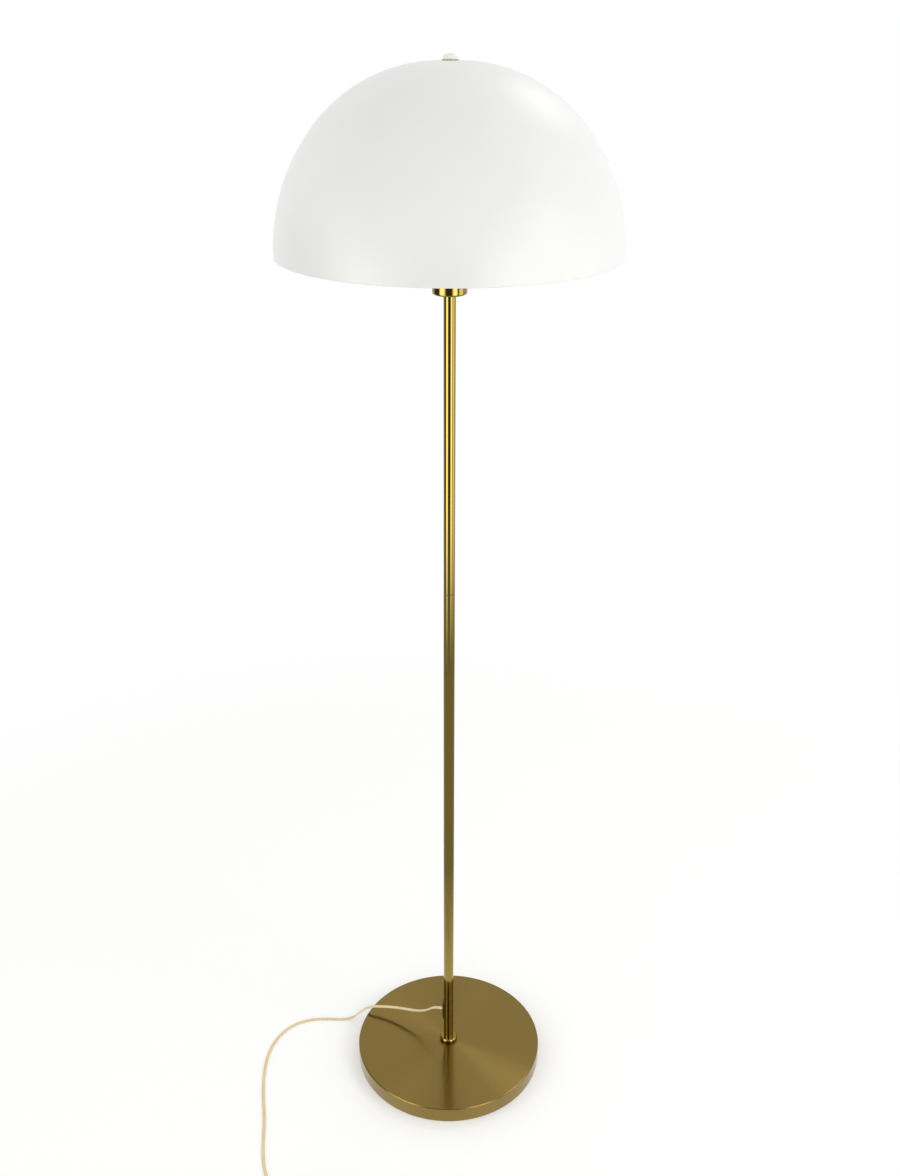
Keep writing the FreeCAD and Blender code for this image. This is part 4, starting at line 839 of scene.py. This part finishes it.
def swept_piece(name: str, path: Sequence[Vector], section: Callable[[float], Section]
                ) -> bpy.types.Object:
    """A closed skin drawn along a path, mapped round and along for its finish.

    Args:
        name: the object's name.
        path: the points to follow.
        section: gives the outline, as (side, up) offsets, at a distance along the path.

    Returns:
        The new object, with a map named flex.
    """
    along = distances(path)
    rings = [[point + side * x + up * y for x, y in section(distance)]
             for (point, side, up), distance in zip(frames_along(path), along)]
    count = len(rings[0])
    points = [point for ring in rings for point in ring]
    faces = [(row * count + step, row * count + (step + 1) % count,
              (row + 1) * count + (step + 1) % count, (row + 1) * count + step)
             for row in range(len(rings) - 1) for step in range(count)]
    faces.append(tuple(range(count - 1, -1, -1)))
    faces.append(tuple(range(len(points) - count, len(points))))
    piece = mesh_object(name, points, faces)
    layer = piece.data.uv_layers.new(name="flex")
    for polygon in piece.data.polygons:
        steps = [piece.data.loops[loop].vertex_index for loop in polygon.loop_indices]
        wraps = len(steps) == 4 and {step % count for step in steps} == {0, count - 1}
        for loop, vertex in zip(polygon.loop_indices, steps):
            step = count if wraps and vertex % count == 0 else vertex % count
            layer.data[loop].uv = (step / count, along[vertex // count] / MM)
    return piece


def lathed_piece(name: str, profile: Sequence[tuple[float, float]], centre: Vector,
                 axis: Vector, steps: int = 72) -> bpy.types.Object:
    """A closed skin turned about an axis.

    Args:
        name: the object's name.
        profile: (radius, distance along the axis) pairs, in metres; closed on itself.
        centre: where the axis starts.
        axis: the axis' direction.
        steps: sides of each ring.

    Returns:
        The new object.
    """
    turn = Vector((0, 0, 1)).rotation_difference(axis).to_matrix()
    points = [centre + turn @ Vector((radius * math.cos(angle), radius * math.sin(angle), height))
              for radius, height in profile
              for angle in (math.tau * step / steps for step in range(steps))]
    rows = len(profile)
    faces = [(row * steps + step, row * steps + (step + 1) % steps,
              (row + 1) % rows * steps + (step + 1) % steps, (row + 1) % rows * steps + step)
             for row in range(rows) for step in range(steps)]
    return mesh_object(name, points, faces)


def ellipse(across: float, high: float, steps: int = 20) -> Section:
    """An oval outline.

    Args:
        across: full width.
        high: full height.
        steps: number of points.

    Returns:
        (side, up) offsets round the oval.
    """
    return [(across / 2 * math.cos(math.tau * step / steps), high / 2 * math.sin(math.tau * step / steps))
            for step in range(steps)]


def smooth_path(name: str, points: Sequence[tuple[float, float, float]], resolution: int
                ) -> list[Vector]:
    """Points read from one smooth spline that has the route's points as its control points.

    Args:
        name: a name for the spline while it is read.
        points: the route, in metres.
        resolution: steps from one control point to the next.

    Returns:
        Points along the spline.
    """
    curve = bpy.data.curves.new(name, "CURVE")
    curve.dimensions = "3D"
    spline = curve.splines.new("NURBS")
    spline.points.add(len(points) - 1)
    for control, point in zip(spline.points, points):
        control.co = (*point, 1.0)
    spline.order_u = 3
    spline.use_endpoint_u = True
    spline.resolution_u = resolution
    carrier = bpy.data.objects.new(name, curve)
    bpy.context.scene.collection.objects.link(carrier)
    read = bpy.data.meshes.new_from_object(carrier)
    path = [vertex.co.copy() for vertex in read.vertices]
    bpy.data.objects.remove(carrier)
    bpy.data.curves.remove(curve)
    bpy.data.meshes.remove(read)
    return path


# ---------------------------------------------------------------- camera

@dataclass
class PhotoCamera:
    """The camera that took the picture, found from the foot, the stem and the shade."""

    place: tuple[float, float, float] = (0.001, -1.560, 1.576)
    focal_pixels: float = 1229.5
    tilt_down: float = math.radians(24.72)
    roll: float = 0.0019
    film: float = 36.0

    def build(self) -> bpy.types.Object:
        """Makes the camera and gives it to the scene.

        Returns:
            The camera object.
        """
        data = bpy.data.cameras.new("photo_camera")
        data.sensor_width = self.film
        data.lens = self.focal_pixels * self.film / IMAGE_HEIGHT
        camera = bpy.data.objects.new("photo_camera", data)
        bpy.context.scene.collection.objects.link(camera)
        turn = Matrix.Rotation(math.pi / 2 - self.tilt_down, 4, "X") @ Matrix.Rotation(self.roll, 4, "Z")
        camera.matrix_world = Matrix.Translation(self.place) @ turn
        bpy.context.scene.camera = camera
        return camera


# ---------------------------------------------------------------- the flex

@dataclass
class TwinFlex:
    """The lamp's clear twin flex: from the stem to the foot switch, and on to the plug.

    The picture cuts it off at the left, so the rest goes round to the front, through
    the foot switch, into a tied coil and out to the plug, all on the floor.
    """

    width: float = 5.2 * MM
    thickness: float = 2.6 * MM
    waist: float = 1.5 * MM
    fine: int = 10
    exit: tuple[float, float, float] = (-0.0080, 0.0029, 0.0880)
    to_switch: tuple[tuple[float, float, float], ...] = (
        (-0.0080, 0.0029, 0.0880), (-0.0230, 0.0084, 0.0866), (-0.0370, 0.0170, 0.0695),
        (-0.0555, 0.0320, 0.0545), (-0.0760, 0.0435, 0.0485), (-0.0970, 0.0525, 0.0435),
        (-0.1170, 0.0580, 0.0395), (-0.1375, 0.0610, 0.0366), (-0.1555, 0.0660, 0.0175),
        (-0.1680, 0.0695, 0.0020), (-0.1880, 0.0670, 0.0014), (-0.2100, 0.0685, 0.0014),
        (-0.2400, 0.0670, 0.0014), (-0.2700, 0.0530, 0.0014), (-0.2920, 0.0250, 0.0014),
        (-0.3030, -0.0120, 0.0014), (-0.3040, -0.0550, 0.0014), (-0.2990, -0.1000, 0.0014),
        (-0.2905, -0.1450, 0.0014), (-0.2865, -0.1900, 0.0014), (-0.2810, -0.2300, 0.0014),
        (-0.2695, -0.2635, 0.0016), (-0.2500, -0.2840, 0.0032), (-0.2310, -0.2900, 0.0070),
        (-0.2135, -0.2900, 0.0070))
    to_coil: tuple[tuple[float, float, float], ...] = (
        (-0.1485, -0.2900, 0.0070), (-0.1360, -0.2900, 0.0066), (-0.1220, -0.2902, 0.0016))
    to_plug: tuple[tuple[float, float, float], ...] = (
        (-0.0950, -0.2933, 0.0041), (-0.0805, -0.2936, 0.0048), (-0.0660, -0.2933, 0.00685),
        (-0.0505, -0.2933, 0.00685))
    coil_centre: tuple[float, float] = (-0.1080, -0.3344)
    layer_turns: int = 4
    turn_pitch: float = 6.6 * MM
    least_radius: float = 18.0 * MM
    layer_low: float = 1.4 * MM
    layer_high: float = 4.1 * MM
    points_a_turn: int = 16

    def coil_point(self, turn: float) -> tuple[float, float, float]:
        """Where the coil is after so many turns: in below, up half a turn, out above.

        Args:
            turn: turns from the start, clockwise from the back.

        Returns:
            A control point of the spline, set out a little so that the spline,
            which passes inside it, has the coil's radius.
        """
        outside = 1 / math.cos(math.pi / self.points_a_turn)
        out = max(turn - self.layer_turns - 0.5, 0.0)
        steps = max(self.layer_turns - turn, 0.0) + out
        radius = (self.least_radius + self.turn_pitch * steps) * outside
        climb = min(max((turn - self.layer_turns) / 0.5, 0.0), 1.0)
        height = self.layer_low + (self.layer_high - self.layer_low) * climb
        angle = math.pi / 2 - math.tau * turn
        return (self.coil_centre[0] + radius * math.cos(angle),
                self.coil_centre[1] + radius * math.sin(angle), height)

    def outline(self, _distance: float) -> Section:
        """The section of the flex: two round cores side by side with a waist between.

        Args:
            _distance: not used; the section is the same all along the flex.

        Returns:
            (side, up) offsets round the section.
        """
        lobe = self.thickness / 2
        centre = self.width / 2 - lobe
        spread = math.acos(min((self.waist / 2) / lobe, 1.0))
        right = [(centre + lobe * math.cos(angle), lobe * math.sin(angle))
                 for angle in (-math.pi / 2 - spread / 2 + (math.pi + spread) * step / 9
                               for step in range(10))]
        return right + [(-x, -y) for x, y in right]

    def build(self, wardrobe: Wardrobe) -> tuple[list[Vector], list[Vector]]:
        """Args:
            wardrobe: where finishes come from.

        Returns:
            The paths to the switch and on to the plug.
        """
        turns = 2 * self.layer_turns
        coil = [self.coil_point(step / self.points_a_turn)
                for step in range(turns * self.points_a_turn + 1)]
        first = smooth_path("first_route", self.to_switch, self.fine)
        second = smooth_path("second_route", (*self.to_coil, *coil, *self.to_plug), 4)
        lead = swept_piece("flex_to_switch", first, self.outline)
        tail = swept_piece("flex_to_plug", second, self.outline)
        wardrobe.dress_piece(lead, FLEX, replaces=["cord"])
        wardrobe.dress_piece(tail, FLEX,
                             replaces=["cord_link", "cord_coil", "cord_tail"])
        return first, second


@dataclass
class CoilTie:
    """The soft PVC strap that holds the coil, closed with a twisted end."""

    strap: tuple[float, float] = (6.0 * MM, 0.8 * MM)
    slack: float = 0.5 * MM

    def build(self, wardrobe: Wardrobe, flex: TwinFlex) -> None:
        """Wraps the strap round all the turns at the front of the coil.

        Args:
            wardrobe: where finishes come from.
            flex: the coil that it holds.
        """
        x, middle = flex.coil_centre
        outer = flex.least_radius + flex.turn_pitch * flex.layer_turns + flex.width / 2 + self.slack
        inner = flex.least_radius - flex.width / 2 - self.slack
        thick = self.strap[1]
        low = max(flex.layer_low - flex.thickness / 2 - self.slack, thick / 2)
        high = flex.layer_high + flex.thickness / 2 + self.slack
        corners = [(-outer, low), (-inner, low), (-inner, high), (-outer, high)]
        loop = self.rounded_loop(corners, 1.6 * MM)
        half_width = self.strap[0] / 2
        points = []
        for index, (y, z) in enumerate(loop):
            before = Vector(loop[index - 1])
            after = Vector(loop[(index + 1) % len(loop)])
            normal = (after - before).orthogonal().normalized() * (thick / 2)
            for offset in (normal, -normal):
                for side in (-1, 1):
                    points.append(Vector((x + side * half_width, middle + y + offset.x, z + offset.y)))
        faces = []
        for index in range(len(loop)):
            here = 4 * index
            there = 4 * ((index + 1) % len(loop))
            for first, second in ((0, 1), (1, 3), (3, 2), (2, 0)):
                faces.append((here + first, here + second, there + second, there + first))
        strap = mesh_object("coil_tie", points, faces)
        bevel = strap.modifiers.new("soft_edges", "BEVEL")
        bevel.width = 0.2 * MM
        bevel.segments = 2
        wardrobe.dress_piece(strap, PVC, replaces=["cord_tie"])
        self.build_twist(wardrobe, Vector((x, middle - outer + 9 * MM, high + thick / 2)))

    def rounded_loop(self, corners: Sequence[tuple[float, float]], radius: float
                     ) -> list[tuple[float, float]]:
        """Rounds the corners of a box outline.

        Args:
            corners: the box's corners, in order.
            radius: the rounding, cut down to fit the shorter side.

        Returns:
            Points round the outline.
        """
        points = []
        for index, corner in enumerate(corners):
            here = Vector(corner)
            back = (Vector(corners[index - 1]) - here).normalized()
            ahead = (Vector(corners[(index + 1) % 4]) - here).normalized()
            centre = here + (back + ahead) * radius
            for step in range(7):
                turn = math.pi / 2 * step / 6
                points.append(tuple(centre - ahead * (radius * math.cos(turn))
                                    - back * (radius * math.sin(turn))))
        return points

    def build_twist(self, wardrobe: Wardrobe, place: Vector) -> None:
        """The twisted tail that closes the strap, lying on the turns.

        Args:
            wardrobe: where finishes come from.
            place: the middle of the twist.
        """
        length = 16 * MM
        path = [place + Vector((length * (step / 24 - 0.5), 0.4 * MM * math.sin(step / 4),
                                1.1 * MM)) for step in range(25)]

        def turning(distance: float) -> Section:
            """The strap's flat section, turning as it goes along.

            Args:
                distance: how far along the twist it is, in metres.

            Returns:
                (side, up) offsets round the section.
            """
            angle = math.tau * 3 * distance / length
            turn = Matrix.Rotation(angle, 2)
            return [tuple(turn @ Vector(point)) for point in ellipse(2.2 * MM, 1.0 * MM, 12)]

        twist = swept_piece("coil_tie_twist", path, turning)
        wardrobe.dress_piece(twist, PVC)


# ---------------------------------------------------------------- foot and stem

@dataclass
class Foot:
    """Spun cover, iron weight, plate, felt and the fixings that clamp the stem."""

    def build(self, wardrobe: Wardrobe) -> None:
        """Dresses the foot's nodes.

        Args:
            wardrobe: where finishes come from.
        """
        wardrobe.dress_nodes(SPUN_BRASS, "base_cover")
        wardrobe.dress_nodes(IRON, "base_weight")
        wardrobe.dress_nodes(FELT, "felt_pad")
        wardrobe.dress_nodes(POLISHED_BRASS, "foot_collar")
        wardrobe.dress_nodes(ZINC, "bottom_plate", "plate_screws", "foot_washer",
                             "foot_lock_washer", "foot_nut")
        wardrobe.dress_nodes(ROD_THREAD, "foot_nipple")
        wardrobe.dress_nodes(TURNED_BRASS, "foot_bush")


@dataclass
class Stem:
    """Two polished tubes joined on a nipple, the cord's black bush and the cable inside."""

    def build(self, wardrobe: Wardrobe) -> None:
        """Dresses the stem's nodes.

        Args:
            wardrobe: where finishes come from.
        """
        wardrobe.dress_nodes(POLISHED_BRASS, "lower_tube", "upper_tube")
        wardrobe.dress_nodes(TURNED_BRASS, "lower_joint_bush", "upper_joint_bush", "head_bush")
        wardrobe.dress_nodes(ROD_THREAD, "joint_nipple", "head_nipple")
        wardrobe.dress_nodes(RUBBER, "cord_grommet")
        wardrobe.dress_nodes(CABLE, "stem_cable")
        wardrobe.dress_nodes(COPPER, "cable_cores")


# ---------------------------------------------------------------- head

@dataclass
class Lampholder:
    """Brass cup, the white E27 holder in it, and the bulb."""

    def build(self, wardrobe: Wardrobe) -> None:
        """Dresses the nodes of the cup, the holder and the bulb.

        Args:
            wardrobe: where finishes come from.
        """
        wardrobe.dress_nodes(POLISHED_BRASS, "holder_cup")
        wardrobe.dress_nodes(ZINC, "cup_lock_washer", "cup_nut")
        wardrobe.dress_nodes(THERMOSET, "holder_cap", "holder_insert", "holder_sleeve", "holder_ring")
        wardrobe.dress_nodes(TURNED_BRASS, "terminal_screws", "centre_contact")
        wardrobe.dress_nodes(BULB_THREAD, "screw_shell", "bulb_cap")
        wardrobe.dress_nodes(NICKEL, "bulb_contact")
        wardrobe.dress_nodes(FUSED_GLASS, "bulb_insulator")
        wardrobe.dress_nodes(OPAL_GLASS, "bulb_glass")


@dataclass
class ShadeAssembly:
    """Opal dome on its wire carrier, with the brass washer and the white knob."""

    def build(self, wardrobe: Wardrobe) -> None:
        """Dresses the nodes of the carrier, the shade and the finial.

        Args:
            wardrobe: where finishes come from.
        """
        wardrobe.dress_nodes(ZINC, "carrier_ring", "carrier_rods", "carrier_disc", "stud_nut")
        wardrobe.dress_nodes(STUD_THREAD, "shade_stud")
        wardrobe.dress_nodes(RUBBER, "soft_washer")
        wardrobe.dress_nodes(OPAL_ACRYLIC, "shade")
        wardrobe.dress_nodes(POLISHED_BRASS, "finial_washer")
        wardrobe.dress_nodes(NYLON, "knob")
        wardrobe.dress_nodes(TURNED_BRASS, "knob_insert")


# ---------------------------------------------------------------- on the cord

@dataclass
class FootSwitch:
    """The foot switch in the cord: two shells, a dished button and ribbed cord sleeves."""

    sleeve: float = 20.0 * MM
    sleeve_root: float = 4.6 * MM
    sleeve_tip: float = 3.3 * MM
    ribs: int = 5

    def build(self, wardrobe: Wardrobe, first: Sequence[Vector], second: Sequence[Vector]) -> None:
        """Dresses the switch and adds the sleeves where the cord enters and leaves.

        Args:
            wardrobe: where finishes come from.
            first: the path of the flex that ends in the switch.
            second: the path of the flex that starts in it.
        """
        wardrobe.dress_nodes(PVC, "switch_base", "switch_cover", "switch_button")
        wardrobe.dress_nodes(NICKEL, "switch_spring")
        wardrobe.dress_nodes(TURNED_BRASS, "switch_contacts")
        wardrobe.dress_nodes(ZINC, "switch_screws")
        self.add_sleeve(wardrobe, "switch_sleeve_in", list(reversed(first)))
        self.add_sleeve(wardrobe, "switch_sleeve_out", list(second))

    def add_sleeve(self, wardrobe: Wardrobe, name: str, path: list[Vector]) -> None:
        """A tapered sleeve with ribs, over the first stretch of a path.

        Args:
            wardrobe: where finishes come from.
            name: the piece's name.
            path: the cord's path, starting inside the switch.
        """
        along = distances(path)
        reach = self.sleeve
        covered = [point for point, distance in zip(path, along) if distance <= reach]
        rows = 6 * self.ribs
        line = resampled(covered, rows)

        def ribbed(distance: float) -> Section:
            """A round section that tapers, with a groove between ribs.

            Args:
                distance: how far along the sleeve it is, in metres.

            Returns:
                (side, up) offsets round the section.
            """
            share = distance / reach
            radius = self.sleeve_root + (self.sleeve_tip - self.sleeve_root) * share
            groove = 0.45 * MM if math.sin(math.tau * self.ribs * share) < -0.2 else 0.0
            return ellipse(2 * (radius - groove), 2 * (radius - groove) * 0.82, 24)

        piece = swept_piece(name, line, ribbed)
        wardrobe.dress_piece(piece, PVC)


@dataclass
class EuroPlug:
    """Flat two-pin plug with a ribbed boot and grip ridges on its top face."""

    ribs: int = 6
    rib_depth: float = 0.7 * MM
    boot_thin: float = 3.6 * MM
    boot_thick: float = 5.2 * MM
    bore: float = 2.65 * MM
    ridges: int = 4
    ridge_width: float = 1.4 * MM
    ridge_length: float = 16.0 * MM
    ridge_pitch: float = 3.0 * MM

    def build(self, wardrobe: Wardrobe) -> None:
        """Dresses the plug, replaces its boot and adds the grip ridges.

        Args:
            wardrobe: where finishes come from.
        """
        wardrobe.dress_nodes(PVC, "plug_body")
        wardrobe.dress_nodes(NICKEL, "plug_pins")
        wardrobe.dress_nodes(RUBBER, "pin_sleeves")
        self.add_boot(wardrobe)
        self.add_ridges(wardrobe)

    def add_boot(self, wardrobe: Wardrobe) -> None:
        """The boot that keeps the cord from kinking, cut into ribs.

        Args:
            wardrobe: where finishes come from.
        """
        low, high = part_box("plug_boot")
        length = high[0] - low[0]
        centre = Vector((low[0], (low[1] + high[1]) / 2, (low[2] + high[2]) / 2))
        profile = [(self.bore, 0.0)]
        rows = 12 * self.ribs
        for row in range(rows + 1):
            share = row / rows
            cut = self.rib_depth if row % 12 in (7, 8, 9) else 0.0
            radius = self.boot_thin + (self.boot_thick - self.boot_thin) * share - cut
            profile.append((radius, length * share))
        profile.append((self.bore, length))
        boot = lathed_piece("plug_boot_ribbed", profile, centre, Vector((1, 0, 0)), 48)
        wardrobe.dress_piece(boot, PVC, replaces=["plug_boot"])

    def add_ridges(self, wardrobe: Wardrobe) -> None:
        """Rounded ridges across the plug's top, for the fingers.

        Args:
            wardrobe: where finishes come from.
        """
        low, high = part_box("plug_body")
        middle = (low[1] + high[1]) / 2
        for index in range(self.ridges):
            x = low[0] + (high[0] - low[0]) * 0.62 + (index - 1.5) * self.ridge_pitch
            path = [Vector((x, middle + self.ridge_length * (step / 12 - 0.5), high[2]))
                    for step in range(13)]

            def swelling(distance: float) -> Section:
                """A low ridge that thins out at both ends.

            Args:
                distance: how far along the ridge it is, in metres.

            Returns:
                (side, up) offsets round the section.
            """
                share = distance / self.ridge_length
                swell = max(math.sin(math.pi * share), 0.0) ** 0.35
                return ellipse(self.ridge_width * swell + 0.1 * MM, 1.0 * MM * swell + 0.05 * MM, 12)

            ridge = swept_piece(f"plug_ridge_{index}", path, swelling)
            wardrobe.dress_piece(ridge, PVC)


# ---------------------------------------------------------------- studio

class StudioRay(Enum):
    """The kinds of ray that see the plain white background."""

    CAMERA = "Is Camera Ray"
    GLOSSY = "Is Glossy Ray"
    TRANSMISSION = "Is Transmission Ray"


def background_rays(graph: Graph) -> bpy.types.NodeSocket:
    """One for camera, glossy and transmission rays, and zero for the rest.

    Args:
        graph: the tree to add to.

    Returns:
        The socket with the sum, held to one.
    """
    kinds = graph.add("ShaderNodeLightPath")
    total = kinds.outputs[StudioRay.CAMERA.value]
    for kind in (StudioRay.GLOSSY, StudioRay.TRANSMISSION):
        total = graph.add("ShaderNodeMath", {0: total, 1: kinds.outputs[kind.value]},
                          operation="ADD", use_clamp=True).outputs[0]
    return total


@dataclass
class Softbox:
    """A soft rectangular lamp that the camera doesn't see."""

    name: str
    place: tuple[float, float, float]
    aim: tuple[float, float, float]
    width: float
    height: float
    radiance: float

    def build(self) -> bpy.types.Object:
        """Makes the lamp, its power worked out from how bright its face is.

        Returns:
            The lamp object.
        """
        data = bpy.data.lights.new(self.name, "AREA")
        data.shape = "RECTANGLE"
        data.size = self.width
        data.size_y = self.height
        data.energy = self.radiance * self.width * self.height * math.pi
        lamp = bpy.data.objects.new(self.name, data)
        bpy.context.scene.collection.objects.link(lamp)
        lamp.location = self.place
        way = Vector(self.aim) - Vector(self.place)
        lamp.rotation_euler = way.to_track_quat("-Z", "Y").to_euler()
        lamp.visible_camera = False
        return lamp


@dataclass
class Studio:
    """Pale floor, white world, soft lamps, and a low surround of painted reflection that only gloss sees.

    In glossy rays the floor is a painted reflection: a glow, bright near the foot and dimmer further out.

    The surround is a painted reflection of strip lamps and dark flags: it glows only in gloss and lights
    nothing. Its stripes are what the polished stem and cup mirror, and they fade into the floor below.
    """

    floor_radius: float = 6.0
    floor_colour: str = "f2f2f0"
    fade_start: float = 0.7
    fade_end: float = 1.7
    floor_lift: float = 0.22
    sky_up: float = 0.66
    sky_level: float = 0.97
    surround_radius: float = 1.3
    surround_height: float = 1.45
    reflection_glow_near: float = 1.25
    reflection_glow_far: float = 0.56
    reflection_glow_reach: tuple[float, float] = (0.2, 0.5)
    surround_full: float = 5.0
    surround_floor: float = 0.5
    surround_fade: float = 0.55
    # brightness of the surround's painted reflection stripes as a share of its full strength, by degrees
    # from the camera's side towards +X
    stripes: tuple[tuple[float, float], ...] = (
        (-180, 0.20), (-150, 0.20), (-120, 0.18), (-108, 0.02), (-71, 0.03), (-64, 1.0),
        (-38, 1.0), (-30, 0.25), (-22, 0.02), (12, 0.02), (20, 0.3), (26, 1.0), (45, 1.0),
        (52, 0.25), (57, 0.05), (62, 0.08), (67, 0.6), (90, 0.6), (98, 0.2), (160, 0.2),
        (180, 0.2))

    def build(self) -> None:
        """Makes the world, the floor, the surround and the lamps."""
        self.build_world()
        self.build_floor()
        self.build_painted_reflection_surround()
        for lamp in (
                Softbox("key_softbox", (2.3, -1.3, 2.0), (0, 0, 0.9), 1.3, 1.0, 3.7),
                Softbox("rim_softbox", (1.2, 1.6, 3.0), (0, 0, 0.0), 0.8, 0.8, 3.0),
                Softbox("fill_softbox", (-2.4, -0.7, 1.9), (0, 0, 0.9), 1.0, 1.0, 1.7)):
            lamp.build()

    def build_world(self) -> None:
        """White where it is seen, and dimmer from above where it lights."""
        world = bpy.data.worlds.new("studio_world")
        bpy.context.scene.world = world
        graph = Graph(world)
        way = graph.add("ShaderNodeTexCoord").outputs["Generated"]
        height = graph.add("ShaderNodeSeparateXYZ", {"Vector": way}).outputs["Z"]
        level = graph.add("ShaderNodeMapRange", {"Value": height, "From Min": 0.0, "From Max": 0.9,
                                                 "To Min": self.sky_level, "To Max": self.sky_up})
        sky = graph.add("ShaderNodeBackground", {"Color": (1, 1, 1, 1),
                                                 "Strength": level.outputs["Result"]})
        white = graph.add("ShaderNodeBackground", {"Color": (1, 1, 1, 1), "Strength": 1.0})
        both = graph.add("ShaderNodeMixShader", {0: background_rays(graph), 1: sky.outputs[0],
                                                 2: white.outputs[0]})
        graph.add("ShaderNodeOutputWorld", {"Surface": both.outputs[0]})

    def build_floor(self) -> None:
        """A pale disc that keeps the lamp's shadow and fades into the white further out. Glossy rays see a
        painted reflection of it instead, a glow that dims away from the foot.
        """
        steps = 96
        rim = [Vector((self.floor_radius * math.cos(math.tau * step / steps),
                       self.floor_radius * math.sin(math.tau * step / steps), 0))
               for step in range(steps)]
        floor = mesh_object("studio_floor", rim, [tuple(range(steps))])
        material = bpy.data.materials.new("studio_floor")
        graph = Graph(material)
        point = graph.add("ShaderNodeTexCoord").outputs["Object"]
        away = graph.add("ShaderNodeVectorMath", {0: point}, operation="LENGTH").outputs["Value"]
        fade = graph.add("ShaderNodeMapRange", {
            "Value": away, "From Min": self.fade_start, "From Max": self.fade_end},
            interpolation_type="SMOOTHSTEP").outputs["Result"]
        seen = background_rays(graph)
        paint = graph.add("ShaderNodeBsdfDiffuse", {"Color": linear(self.floor_colour)})
        lift = graph.add("ShaderNodeMath", {0: seen, 1: self.floor_lift}, operation="MULTIPLY")
        glow = graph.add("ShaderNodeEmission", {"Strength": lift.outputs[0]})
        near = graph.add("ShaderNodeAddShader", {0: paint.outputs[0], 1: glow.outputs[0]})
        white = graph.add("ShaderNodeEmission", {"Strength": 1.0})
        far_share = graph.add("ShaderNodeMath", {0: fade, 1: seen}, operation="MULTIPLY")
        spread = graph.add("ShaderNodeMixShader", {0: far_share.outputs[0], 1: near.outputs[0],
                                                   2: white.outputs[0]})
        # painted reflection: glossy rays see the floor as a glow, stronger near the foot than further out
        painted_reflection_strength = graph.add("ShaderNodeMapRange", {
            "Value": away, "From Min": self.reflection_glow_reach[0], "From Max": self.reflection_glow_reach[1],
            "To Min": self.reflection_glow_near, "To Max": self.reflection_glow_far}).outputs["Result"]
        painted_reflection_glow = graph.add("ShaderNodeEmission", {"Strength": painted_reflection_strength})
        gloss = graph.add("ShaderNodeLightPath").outputs[StudioRay.GLOSSY.value]
        surface = graph.add("ShaderNodeMixShader", {0: gloss, 1: spread.outputs[0],
                                                    2: painted_reflection_glow.outputs[0]})
        graph.add("ShaderNodeOutputMaterial", {"Surface": surface.outputs[0]})
        floor.data.materials.append(material)

    def build_painted_reflection_surround(self) -> None:
        """A low round wall of painted reflection: light and dark stripes that glow only in polished
        surfaces.
        """
        steps = 144
        points = [Vector((self.surround_radius * math.cos(math.tau * step / steps),
                          self.surround_radius * math.sin(math.tau * step / steps), height))
                  for height in (0.001, self.surround_height) for step in range(steps)]
        faces = [(step, (step + 1) % steps, steps + (step + 1) % steps, steps + step)
                 for step in range(steps)]
        wall = mesh_object("painted_reflection_surround", points, faces)
        material = bpy.data.materials.new("painted_reflection_surround")
        graph = Graph(material)
        axes = graph.add("ShaderNodeSeparateXYZ",
                         {"Vector": graph.add("ShaderNodeTexCoord").outputs["Object"]})
        front = graph.add("ShaderNodeMath", {0: axes.outputs["Y"], 1: -1.0}, operation="MULTIPLY")
        turn = graph.add("ShaderNodeMath", {0: axes.outputs["X"], 1: front.outputs[0]},
                         operation="ARCTAN2")
        share = graph.add("ShaderNodeMapRange", {"Value": turn.outputs[0], "From Min": -math.pi,
                                                 "From Max": math.pi})
        ramp = graph.add("ShaderNodeValToRGB", {"Fac": share.outputs["Result"]})
        stops = ramp.color_ramp.elements
        for degrees, level in self.stripes[1:-1]:
            stops.new((degrees + 180) / 360).color = (level, level, level, 1)
        for stop, (_, level) in ((stops[0], self.stripes[0]), (stops[-1], self.stripes[-1])):
            stop.color = (level, level, level, 1)
        bright = graph.add("ShaderNodeMath", {0: ramp.outputs["Color"], 1: self.surround_full},
                           operation="MULTIPLY")
        rise = graph.add("ShaderNodeMapRange", {
            "Value": axes.outputs["Z"], "From Min": 0.0, "From Max": self.surround_fade},
            interpolation_type="SMOOTHSTEP")
        level = graph.add("ShaderNodeMix", {0: rise.outputs["Result"], NUMBER_A: self.surround_floor,
                                            NUMBER_B: bright.outputs[0]}, data_type="FLOAT")
        # painted reflection: this glow is seen only by glossy rays and lights nothing
        light = graph.add("ShaderNodeEmission", {"Strength": level.outputs[0]})
        graph.add("ShaderNodeOutputMaterial", {"Surface": light.outputs[0]})
        wall.data.materials.append(material)
        wall.visible_camera = False
        wall.visible_diffuse = False
        wall.visible_shadow = False
        wall.visible_transmission = False


# ---------------------------------------------------------------- main


def main() -> None:
    """Loads the frame, builds the camera, the cord, every sub-assembly and the studio."""
    logging.basicConfig(level=logging.INFO, format="%(name)s: %(message)s")
    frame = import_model()
    scene = bpy.context.scene
    scene.view_settings.view_transform = "Standard"
    wardrobe = Wardrobe(nodes=frame["nodes"])
    PhotoCamera().build()
    flex = TwinFlex()
    first, second = flex.build(wardrobe)
    CoilTie().build(wardrobe, flex)
    for part in (Foot(), Stem(), Lampholder(), ShadeAssembly()):
        part.build(wardrobe)
        LOG.info("dressed %s", type(part).__name__)
    FootSwitch().build(wardrobe, first, second)
    EuroPlug().build(wardrobe)
    Studio().build()
    wardrobe.check_all_dressed()


if __name__ == "__main__":
    main()
